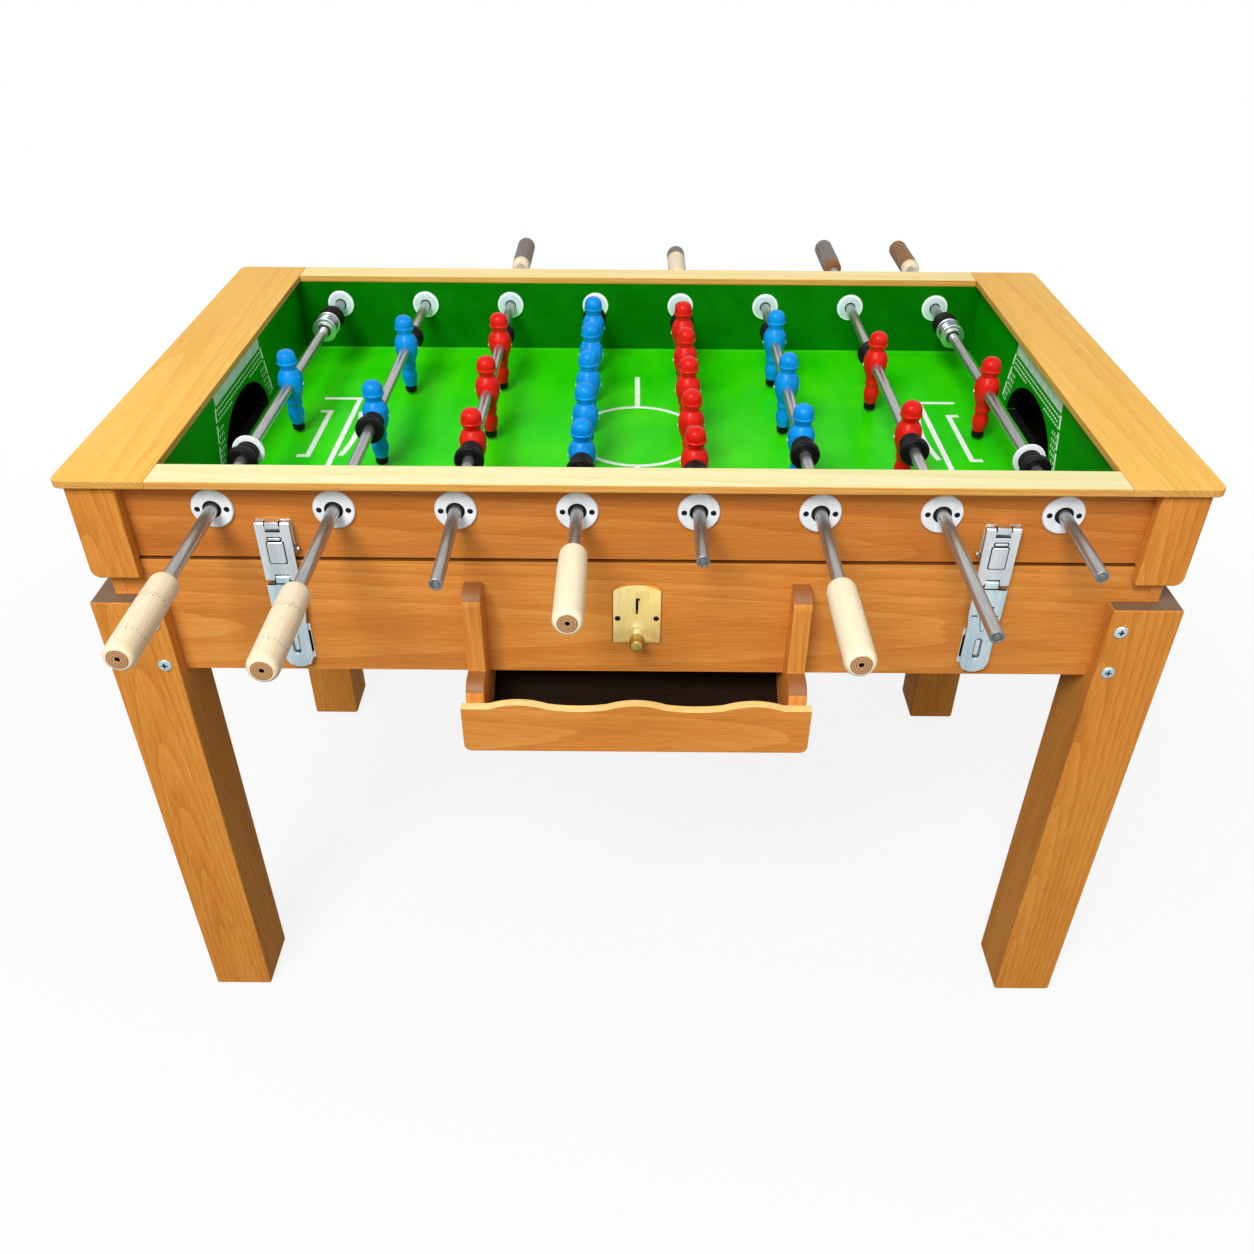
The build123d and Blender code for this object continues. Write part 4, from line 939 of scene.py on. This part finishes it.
def rod_bar(number, side):
    """Ground rod with a chamfer, and a plug that sits a little inside its bare end."""
    name = f"rod_{number}_bar"
    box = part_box(name)
    profile = [*ROD_TIP, (ROD_RADIUS, ROD_CHAMFER), (ROD_RADIUS, round_size(box)[1])]
    mesh = assemble(name, [on_rod(turned(profile), box, side, ROD_END)])
    mesh.materials.append(ROD_STEEL)
    row = np.arange(len(mesh.polygons)) // FINE_TURN
    mesh.polygons.foreach_set("material_index", (row == len(ROD_TIP)).astype(int))
    stand_in(name, "ground", mesh)


HANDLE_ROUNDING = 8.0
HANDLE_FACE = 11.5
HANDLE_HOLE = 2.6
HANDLE_HOLE_EASING = 0.6
HANDLE_HOLE_DEPTH = 7.0
HANDLE_NECK = (3.0, 0.6, 5.0)
HANDLE_RING = 16.0
HANDLE_RING_SUNK = 0.4
HANDLE_SWELL = 40.0
HANDLE_TIP = 42.0
HANDLE_LOOKS = {
    1: (HANDLE_WOOD, HANDLE_WOOD, HANDLE_WOOD),
    2: (HANDLE_WOOD, HANDLE_WOOD, HANDLE_WOOD),
    3: (CLEAR_HANDLE, GREY_HANDLE, GREY_HANDLE),
    4: (CLEAR_HANDLE, CLEAR_HANDLE, CLEAR_HANDLE),
    5: (CLEAR_HANDLE, CLEAR_HANDLE, GREY_HANDLE),
    6: (CLEAR_HANDLE, CLEAR_HANDLE, CLEAR_HANDLE),
    7: (BROWN_HANDLE, GREY_HANDLE, GREY_HANDLE),
    8: (CLEAR_HANDLE, BROWN_HANDLE, BROWN_HANDLE),
}


def rod_handle(number, side):
    """Turned handle: rounded at both ends, with a ring next to the rod, a tip that may be of another wood, a
    ringed end face and the hole of the screw that holds it. The tip's edge is a quarter ellipse."""
    name = f"rod_{number}_handle"
    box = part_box(name)
    radius, length = round_size(box)
    foot, neck, neck_end = HANDLE_NECK
    ring = (radius - HANDLE_RING_SUNK, HANDLE_RING)
    near = softened([(ROD_RADIUS, 0), (radius - foot, 0), (radius - neck, neck_end), ring], 3.0, 5)
    grip = softened([ring, (radius, HANDLE_SWELL), (radius, length - HANDLE_TIP)], 8.0, 4)
    t = np.linspace(0, pi / 2, 8)
    tip = np.stack([HANDLE_FACE + (radius - HANDLE_FACE) * np.cos(t),
                    length - HANDLE_ROUNDING + HANDLE_ROUNDING * np.sin(t)], -1)
    tip = np.concatenate([grip[-1:], tip])
    rim = (HANDLE_HOLE, length - HANDLE_HOLE_EASING)
    face = [(HANDLE_FACE, length), (HANDLE_HOLE + HANDLE_HOLE_EASING, length), rim]
    hole = [rim, (HANDLE_HOLE, length - HANDLE_HOLE_DEPTH), (0.2, length - HANDLE_HOLE_DEPTH)]
    runs = (near, grip, tip, face, hole)
    profile = np.concatenate([run[:-1] for run in runs[:-1]] + [hole])
    mesh = assemble(name, [on_rod(turned(profile), box, side, HANDLE_LOOKS[number][0])])
    # The screw hole in the handle's end is painted black as the shade inside it
    for other in (*HANDLE_LOOKS[number][1:], HANDLE_END, BOOT_BLACK_AND_PAINTED_SHADE):
        mesh.materials.append(other)
    run_of_row = np.repeat(np.arange(len(runs)), [len(run) - 1 for run in runs])
    index = np.append(np.repeat(run_of_row, FINE_TURN), [0, len(runs) - 1])
    mesh.polygons.foreach_set("material_index", index)
    lay_grain(mesh, pith=(0.0, 0.0), along=(1,))
    stand_in(name, "turned", mesh)


SLEEVE_BORE = ROD_RADIUS + 0.3
BUMPER_PROFILE = (
    (SLEEVE_BORE, 0.0), (15.0, 0.0), (15.5, 3.0), (14.2, 4.2), (14.2, 6.2), (15.5, 7.4), (15.5, 10.6),
    (14.2, 11.8), (14.2, 13.8), (15.5, 15.0), (15.5, 19.0), (17.0, 21.5), (20.0, 24.0), (20.0, 31.0),
    (18.0, 34.0), (14.0, 34.0), (12.5, 32.5), (SLEEVE_BORE, 32.5),
)


def rod_bumpers(number):
    """Two rubber bumpers of a rod, each a ribbed sleeve with its flared lip towards the panel."""
    name = f"rod_{number}_bumpers"
    bumper = hoop(softened(BUMPER_PROFILE, 0.9, 3, closed=True), MIDDLE_TURN)
    parts = [on_rod(bumper, box, side, BLACK_RUBBER) for box, side in zip(solids(name), (-1, 1))]
    stand_in(name, "ribbed", assemble(name, parts))


SPRING_TURNS = 3.0
SPRING_POINTS = 120
SPRING_WIRE_RADIUS = 1.5
SPRING_RADIUS = 17.5
SPRING_SLEEVE_RADIUS = 14.0
STOP_SLEEVE_RADIUS = 9.8
STOP_RADIUS = 19.5
STOP_HUB = 13.5
STOP_STEP = 1.4


def washer(thickness, outer):
    """Washer or sleeve on a rod with eased rims, about Z."""
    outline = [(SLEEVE_BORE, 0), (outer, 0), (outer, thickness), (SLEEVE_BORE, thickness)]
    return soft_hoop(outline, 0.9, 3)


def coil(length):
    """Coil spring about Z: the middle line of its wire climbs evenly round a circle."""
    t = np.linspace(0, 1, SPRING_POINTS)
    angle = 2 * pi * SPRING_TURNS * t
    reach = SPRING_RADIUS - SPRING_WIRE_RADIUS
    climb = SPRING_WIRE_RADIUS + (length - 2 * SPRING_WIRE_RADIUS) * t
    return wire(np.stack([reach * np.cos(angle), reach * np.sin(angle), climb], -1), SPRING_WIRE_RADIUS)


def goalie_spring(number):
    """Stops of a goalkeeper's rod: a nylon washer at the front, and at the back a coil spring on a rubber
    sleeve between stepped zinc rings."""
    name = f"rod_{number}_spring"
    parts = []
    for box in solids(name):
        radius, length = round_size(box)
        if middle(box)[1] < 0:
            parts.append(on_rod(washer(length, radius), box, 1, WHITE_NYLON))
        elif length < STOP_RADIUS:
            stop = [(STOP_SLEEVE_RADIUS, 0), (STOP_HUB, 0), (STOP_HUB, STOP_STEP), (STOP_RADIUS, STOP_STEP),
                    (STOP_RADIUS, length), (STOP_SLEEVE_RADIUS, length)]
            parts.append(on_rod(soft_hoop(stop, 0.6, 3), box, 1, ZINC))
            parts.append(on_rod(washer(length, STOP_SLEEVE_RADIUS), box, 1, BLACK_RUBBER))
        else:
            parts.append(on_rod(washer(length, SPRING_SLEEVE_RADIUS), box, 1, BLACK_RUBBER))
            parts.append(on_rod(coil(length), box, 1, SPRING_STEEL))
    stand_in(name, "coil", assemble(name, parts))


BUSH_BORE = ROD_RADIUS + 0.4
BUSH_COLLAR = 11.6
BUSH_COLLAR_EASING = 0.6
BUSH_SLEEVE = 12.0
BUSH_FLANGE = 4.0
BUSH_INNER_RADIUS = 22.5
BUSH_INNER_EASING = 1.2
BUSH_OUTER_EASING = 1.4
BUSH_RING = ((9.4, 0.6), (9.4, -0.3), (19.0, -0.3), (19.0, 0.6))
BUSH_SCREW_REACH = 18.0
BUSH_SCREW_RADIUS = 3.6


def rod_bushes():
    """Rod bushes: a white flange on both faces of the panel, a dark collar round the rod, a grey ring on the
    inner flange and two dark screws level with the rod on the outer one."""
    screw = screw_head(BUSH_SCREW_RADIUS, 1.5, 1.1)
    ring = soft_hoop(BUSH_RING, 0.2, 2)
    parts = []
    for box in solids("rod_bushes"):
        radius, deep = round_size(box)
        x, y = middle(box)[:2]
        flange = [(BUSH_COLLAR, 0.6), (BUSH_COLLAR, 0), (BUSH_INNER_RADIUS - BUSH_INNER_EASING, 0),
                  (BUSH_INNER_RADIUS, BUSH_INNER_EASING), (BUSH_INNER_RADIUS, BUSH_FLANGE),
                  (BUSH_SLEEVE, BUSH_FLANGE), (BUSH_SLEEVE, deep - BUSH_FLANGE), (radius, deep - BUSH_FLANGE),
                  (radius, deep - BUSH_OUTER_EASING), (radius - BUSH_OUTER_EASING, deep), (BUSH_COLLAR, deep),
                  (BUSH_COLLAR, deep - 0.8)]
        inner = BUSH_COLLAR - BUSH_COLLAR_EASING
        collar = [(BUSH_BORE, -0.2), (inner, -0.2), (BUSH_COLLAR, 0.7), (BUSH_COLLAR, deep - 0.9),
                  (inner, deep - 0.4), (BUSH_BORE, deep - 0.4)]
        parts.append(on_rod(soft_hoop(flange, 0.5, 2), box, y, WHITE_NYLON))
        parts.append(on_rod(soft_hoop(collar, 0.4, 2), box, y, BLACK_RUBBER))
        parts.append(on_rod(ring, box, y, GREY_NYLON))
        way, face = ("+y", box[1][1]) if y > 0 else ("-y", box[0][1])
        for aside in (-BUSH_SCREW_REACH * MM, BUSH_SCREW_REACH * MM):
            parts.append(placed(screw, way, (x + aside, face, ROD_Z), DARK_STEEL_AND_RECESS_SHADE))
    stand_in("rod_bushes", "moulded", assemble("rod_bushes", parts))


for number in range(1, 9):
    handle_side = np.sign(middle(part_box(f"rod_{number}_handle"))[1])
    rod_bar(number, handle_side)
    rod_handle(number, handle_side)
    rod_bumpers(number)
    rod_men(number, "blue_plastic" if handle_side < 0 else "red_plastic")
for number in (1, 8):
    goalie_spring(number)
rod_bushes()


# Metal fittings; sizes in millimetres, places in metres

CROSS_BAR = 0.12
CROSS_REACH = 0.44
CROSS_FLOOR = 0.66
CROSS_DEPTH = 0.45
BOLT_RIM = 0.35
BOLT_GRID = (22, 72)
BOLT_FOOT = -2.0
BOLT_HEIGHT = 3.4
BOLT_SEAT = 3.0 * MM
# Painted shade round raised pressings and in the hasps' gaps: its width round a pressing, and how far it
# stands proud
PRESSED_LINE = 1.4
GAP_PROUD = 0.15
KNUCKLE_RADIUS = 4.65
KNUCKLE_HALF = 9.0 * MM
KNUCKLE_SHADE = 1.3
FLAP_HINGE_Z = 0.874
FLAP_TAB_Z = 0.8555
FLAP_PANEL_Z = 0.836
STRAP_HINGE_Z = 0.797
STRAP_STEP_Z = 0.749
STRAP_WEDGE_Z = 0.744
STRAP_WEDGE = ((-8.5, 18), (8.5, 18), (1.5, -18), (-1.5, -18))
# Painted shadows of the hasps' gaps and steps, each (width, height, aside, level)
FLAP_GAP_SHADOWS = ((19, 2.0, 0, FLAP_HINGE_Z - 7.8 * MM),)
STRAP_GAP_SHADOWS = (
    (20, 2.0, 0, STRAP_HINGE_Z - 7.0 * MM),
    (11, 2.0, -15, STRAP_HINGE_Z - 7.8 * MM),
    (11, 2.0, 15, STRAP_HINGE_Z - 7.8 * MM),
    (9, 1.6, -13, STRAP_STEP_Z),
    (9, 1.6, 13, STRAP_STEP_Z),
)
LEAF = 2.5 * MM
LEAF_SCREWS = (-32, 0, 32)
LEAF_SCREW = (4.1, 1.3)
LEAF_SCREW_RIM_SHADE = ((0.3, -0.5), (4.8, -0.5), (4.8, 0.12), (0.3, 0.12))
LOWER_LEAF_Z = 0.797
UPPER_LEAF_Z = 0.843
STAPLE_SHADES = (-18.2, 18.2)
STAPLE_SHADE = (4.0, 34, 1.0, 0.3)
STAPLE_Z = 0.697
LID_PIN = ((0.3, 0), (2.2, 0), (2.2, 5.0), (3.0, 5.4), (3.0, 7.2), (0.3, 7.6))
LID_PIN_PLACE = (-0.3865, 0.838)
LID_PIN_SUNK = 2 * MM


def sheet_metal(name, material, details):
    """A metal node with eased edges, and raised details as more closed surfaces of the same piece."""
    mesh = eased(name, SHEET_EASING, 2)
    detail = assemble(name + "_detail", details)
    for other in (material, *detail.materials):
        mesh.materials.append(other)
    detail.polygons.foreach_set("material_index", read(detail.polygons, "material_index", kind=int) + 1)
    with opened(mesh) as work:
        work.from_mesh(detail)
    bpy.data.meshes.remove(detail)
    stand_in(name, "pressed", mesh)


def cross_shade(radius, height):
    """Painted shade in a cross recess: two crossed dark bars that stand a little above the sunk part of the
    dome.
    """
    long, thin = 2 * CROSS_REACH * radius, 2 * CROSS_BAR * radius
    return [plate(*size, 0.2, CROSS_FLOOR * height, 0) for size in ((long, thin), (thin, long))]


def bolt_head(radius, height):
    """Domed bolt head about Z with a cross recess: the height of a shallow dome over a polar grid, sunk where
    the point lies inside either bar of the cross."""
    rows, sides = BOLT_GRID
    r = np.linspace(1, 0.02, rows)[:, None] * radius
    angle = 2 * pi * np.arange(sides)[None, :] / sides
    x, y = r * np.cos(angle), r * np.sin(angle)
    h = height * (BOLT_RIM + (1 - BOLT_RIM) * np.sqrt(np.clip(1 - (r / radius) ** 2, 0, 1))) + 0 * angle
    bar, reach = CROSS_BAR * radius, CROSS_REACH * radius
    cross = ((np.abs(x) < bar) & (np.abs(y) < reach)) | ((np.abs(y) < bar) & (np.abs(x) < reach))
    h = np.where(cross, h - CROSS_DEPTH * height, h)
    foot = np.stack([x[:1], y[:1], np.full((1, sides), BOLT_FOOT)], -1)
    return capped(np.concatenate([foot, np.stack([x, y, h], -1)]))


def leg_bolts():
    """Round zinc bolt heads on the legs."""
    parts = []
    for box in solids("leg_bolts"):
        x, y, z = middle(box)
        radius = round_size(box)[0]
        way, face, seat = ("-y", box[0][1], BOLT_SEAT) if y < 0 else ("+y", box[1][1], -BOLT_SEAT)
        at = (x, face + seat, z)
        parts.append(placed(bolt_head(radius, BOLT_HEIGHT), way, at, BLUE_ZINC))
        parts += [placed(bar, way, at, DARK_STEEL_AND_RECESS_SHADE) for bar in cross_shade(radius, BOLT_HEIGHT)]
    stand_in("leg_bolts", "domed", assemble("leg_bolts", parts))


def raised(outline, at, metal, height=1.2):
    """A raised pressing with a dark line of painted shade round it: a thin dark plate and a bevelled one on
    it.
    """
    shade = slab(outline, [(-PRESSED_LINE, -0.6), (-PRESSED_LINE, GAP_PROUD)])
    panel = slab(outline, [(0, -0.5), (0, height * 0.6), (0.5, height), (1.2, height)])
    return [placed(shade, "-y", at, BOOT_BLACK_AND_PAINTED_SHADE), placed(panel, "-y", at, metal)]


def gap_shadow_strips(gaps, x, face):
    """Thin black strips on a hasp plate, the shadows of gaps and steps: each has a width, a height, a
    distance from the plate's middle and a level."""
    return [placed(plate(width, height, 0.4, GAP_PROUD), "-y", (x + aside * MM, face, level), BOOT_BLACK_AND_PAINTED_SHADE)
            for width, height, aside, level in gaps]


def knuckle_gap_shade(x, y, z):
    """Black ends of painted shade on the two knuckles beside a middle one, for the shade in the gaps between
    them.
    """
    ring = turned([(0.3, 0.0), (KNUCKLE_RADIUS, 0.0), (KNUCKLE_RADIUS, KNUCKLE_SHADE), (0.3, KNUCKLE_SHADE)],
                  SMALL_TURN)
    return [placed(ring, "+x", (x + KNUCKLE_HALF, y, z), BOOT_BLACK_AND_PAINTED_SHADE),
            placed(ring, "-x", (x - KNUCKLE_HALF, y, z), BOOT_BLACK_AND_PAINTED_SHADE)]


def hinge_screws(x, face, z):
    """Three cross-head screws along a hinge leaf, each with a dark line of painted shade round its
    countersunk rim.
    """
    rim = turned(LEAF_SCREW_RIM_SHADE, SMALL_TURN)
    head = bolt_head(*LEAF_SCREW)
    places = [(x + offset * MM, face, z) for offset in LEAF_SCREWS]
    return [placed(surface, "+y", at, metal)
            for at in places for surface, metal in ((rim, BOOT_BLACK_AND_PAINTED_SHADE), (head, ZINC))]


def hasps():
    """Hasp plates; the flap has a raised panel and a tab, the strap a raised wedge and a step line of painted
    shadow.
    """
    wedge = softened(STRAP_WEDGE, 1.5, 3, closed=True)
    for hand in ("left", "right"):
        low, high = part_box("hasp_flap_" + hand)
        x = middle((low, high))[0]
        face = low.y
        axis_y = face + KNUCKLE_RADIUS * MM
        sheet_metal("hasp_flap_" + hand, ZINC,
                    raised(round_box(20, 30, 1.5), (x, face, FLAP_PANEL_Z), ZINC)
                    + raised(round_box(16, 3.4, 1.2), (x, face, FLAP_TAB_Z), ZINC, 0.9)
                    + gap_shadow_strips(FLAP_GAP_SHADOWS, x, face)
                    + knuckle_gap_shade(x, axis_y, FLAP_HINGE_Z) + knuckle_gap_shade(x, axis_y, STRAP_HINGE_Z))
        sheet_metal("hasp_strap_" + hand, BLUE_ZINC,
                    raised(wedge, (x, face, STRAP_WEDGE_Z), BLUE_ZINC) + gap_shadow_strips(STRAP_GAP_SHADOWS, x, face))


def fixed_plates():
    """Plates that stay on the lower box and on the lid: screws on the hinge leaves at the back, at the front
    dark lines of painted shadow beside the staples and the headed pins at the sides of the lid's plates."""
    shade = plate(*STAPLE_SHADE)
    pin = turned(softened(LID_PIN, 0.4, 2), SMALL_TURN)
    base_details, lid_details = [], []
    for low, high in solids("base_fittings"):
        x = middle((low, high))[0]
        if low[1] > 0:
            base_details += hinge_screws(x, low[1] + LEAF, LOWER_LEAF_Z)
            continue
        for aside in STAPLE_SHADES:
            base_details.append(placed(shade, "-y", (x + aside * MM, high[1] - LEAF, STAPLE_Z), BOOT_BLACK_AND_PAINTED_SHADE))
    for low, high in solids("lid_fittings"):
        x = middle((low, high))[0]
        if low[1] > 0:
            lid_details += hinge_screws(x, low[1] + LEAF, UPPER_LEAF_Z)
            continue
        way, edge = ("-x", low[0] + LID_PIN_SUNK) if x > 0 else ("+x", high[0] - LID_PIN_SUNK)
        lid_details.append(placed(pin, way, (edge, *LID_PIN_PLACE), ZINC))
    sheet_metal("base_fittings", ZINC, base_details)
    sheet_metal("lid_fittings", ZINC, lid_details)


COIN_SCREW_INSET = 5.8 * MM
COIN_SCREW_LEVEL = 39 * MM
COIN_SCREW_RADIUS = 3.8
# Painted shade in the hook of the coin slot: its width, height, corner radius and top
COIN_SLOT_HOOK_SHADE = (5.2, 3.4, 1.0, 0.12)
COIN_HOOK_PLACE = (1.2 * MM, 20.5 * MM)
STEM_RADIUS = 6.9
STEM_FROM_END = 20.0
KNOB_RING = (8.8, 21.0, 18.0)
KNOB_FOOT = (0.6, 18.4)
KNOB_PROFILE = ((0.0, 16.0), (0.0, 6.0), (1.0, 3.5), (2.4, 0.8))
KNOB_FACE = 4.0


def coin_plate():
    """Brass coin plate with two dark screws and a hooked slot, whose hook is a black plate of painted shade.
    """
    low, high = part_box("coin_plate")
    screw = screw_head(COIN_SCREW_RADIUS, 1.0, 1.2)
    hook = plate(*COIN_SLOT_HOOK_SHADE)
    hook_x = middle(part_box("coin_plunger"))[0] + COIN_HOOK_PLACE[0]
    level = low.z + COIN_SCREW_LEVEL
    sheet_metal("coin_plate", BRASS, [
        placed(screw, "-y", (low.x + COIN_SCREW_INSET, low.y, level), DARK_STEEL_AND_RECESS_SHADE),
        placed(screw, "-y", (high.x - COIN_SCREW_INSET, low.y, level), DARK_STEEL_AND_RECESS_SHADE),
        placed(hook, "-y", (hook_x, low.y, high.z - COIN_HOOK_PLACE[1]), BOOT_BLACK_AND_PAINTED_SHADE),
    ])


def coin_plunger():
    """Plunger with a steel stem, a steel ring and a stout brass knob."""
    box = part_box("coin_plunger")
    radius, length = round_size(box)
    x, z = middle(box)[[0, 2]]
    stem_end = length - STEM_FROM_END
    stem = softened([(1.0, 0), (STEM_RADIUS, 0), (STEM_RADIUS, stem_end), (0.3, stem_end)], 0.3, 2)
    reach, near, far = KNOB_RING[0], length - KNOB_RING[1], length - KNOB_RING[2]
    ring = softened([(1.0, near), (reach, near), (reach, far), (1.0, far)], 0.8, 3)
    foot = length - KNOB_FOOT[1]
    side = [(radius - inset, length - from_end) for inset, from_end in KNOB_PROFILE]
    face = [(KNOB_FACE, length), (0.3, length)]
    knob = softened([(1.0, foot), (radius - KNOB_FOOT[0], foot), *side, *face], 1.0, 4)
    runs = ((stem, ZINC), (ring, ZINC), (knob, OLD_BRASS))
    parts = [placed(turned(run), "-y", (x, box[1].y, z), metal) for run, metal in runs]
    stand_in("coin_plunger", "turned", assemble("coin_plunger", parts))


leg_bolts()
hasps()
fixed_plates()
coin_plate()
coin_plunger()


# Floor, light and camera

def seen_share(add):
    """How far a ray sees the studio as plain white: fully from the camera or through glass, in part by
    reflection."""
    kinds = ("Camera", "Transmission", "Glossy")
    seen, through, glossy = (add("LightPath", out=f"Is {kind} Ray") for kind in kinds)
    mirrored = add("Math", {0: glossy, 1: MIRRORED_WHITE}, operation="MULTIPLY")
    straight = add("Math", {0: seen, 1: through}, operation="MAXIMUM")
    return add("Math", {0: straight, 1: mirrored}, operation="MAXIMUM")


def floor():
    """Wide pale floor that fades to plain white away from the table."""
    mesh = bpy.data.meshes.new("studio_floor")
    corners = [(x * FLOOR_HALF, y * FLOOR_HALF, 0) for x, y in ((-1, -1), (1, -1), (1, 1), (-1, 1))]
    mesh.from_pydata(corners, [], [(0, 1, 2, 3)])
    look = {"Roughness": FLOOR_ROUGHNESS, "Base Color": linear(FLOOR_GREY)}
    material, add = finish("studio_floor_paper", look)
    nodes = material.node_tree.nodes
    away = add("VectorMath", {0: add("TexCoord", out="Object")}, "Value", operation="LENGTH")
    near, far = FLOOR_FADE
    limits = {"From Min": near, "From Max": far, "To Min": FLOOR_WHITE, "To Max": 1.0}
    fade = add("MapRange", {"Value": away, **limits}, interpolation_type="SMOOTHSTEP")
    share = add("Math", {0: seen_share(add), 1: fade}, operation="MULTIPLY")
    to_camera = add("LightPath", out="Is Camera Ray")
    bounce = add("BsdfDiffuse", {"Color": linear(FLOOR_BOUNCE)})
    paper = add("MixShader", {0: to_camera, 1: bounce, 2: nodes["Principled BSDF"].outputs[0]})
    white = add("Emission", {"Color": WHITE, "Strength": 1.0})
    mixed = add("MixShader", {0: share, 1: paper, 2: white})
    material.node_tree.links.new(mixed, nodes["Material Output"].inputs["Surface"])
    mesh.materials.append(material)
    piece = in_scene("studio_floor", mesh)


def world():
    """White surroundings that the camera sees at full white and that light the table more softly."""
    made = bpy.data.worlds.new("studio_white")
    bpy.context.scene.world = made
    made.use_nodes = True
    tree = made.node_tree
    add = partial(node, tree)
    soft = tree.nodes["Background"]
    soft.inputs["Color"].default_value = WHITE
    soft.inputs["Strength"].default_value = SOFT_LIGHT
    white = add("Background", {"Color": WHITE, "Strength": 1.0})
    mixed = add("MixShader", {0: seen_share(add), 1: soft.outputs[0], 2: white})
    tree.links.new(mixed, tree.nodes["World Output"].inputs["Surface"])


def lamp(name, place, target, size, power):
    """Square soft lamp that faces a target."""
    data = bpy.data.lights.new(name, "AREA")
    data.size = size
    data.energy = power
    light = in_scene(name, data)
    light.location = place
    light.rotation_euler = (Vector(place) - Vector(target)).to_track_quat("Z", "Y").to_euler()


def camera():
    """Camera of the photograph, looking down along +Y with a slight roll."""
    data = bpy.data.cameras.new("photo_camera")
    data.lens = LENS_MM
    data.sensor_width = SENSOR_MM
    data.shift_x, data.shift_y = CAMERA_SHIFT
    view = in_scene("photo_camera", data)
    tilt = Matrix.Rotation(pi / 2 - CAMERA_PITCH, 4, "X")
    roll = Matrix.Rotation(CAMERA_ROLL, 4, "Z")
    view.matrix_world = Matrix.Translation(CAMERA_PLACE) @ tilt @ roll
    bpy.context.scene.camera = view


floor()
world()
for name, setting in LAMPS.items():
    lamp(name, *setting)
camera()
bpy.context.scene.view_settings.view_transform = "Standard"
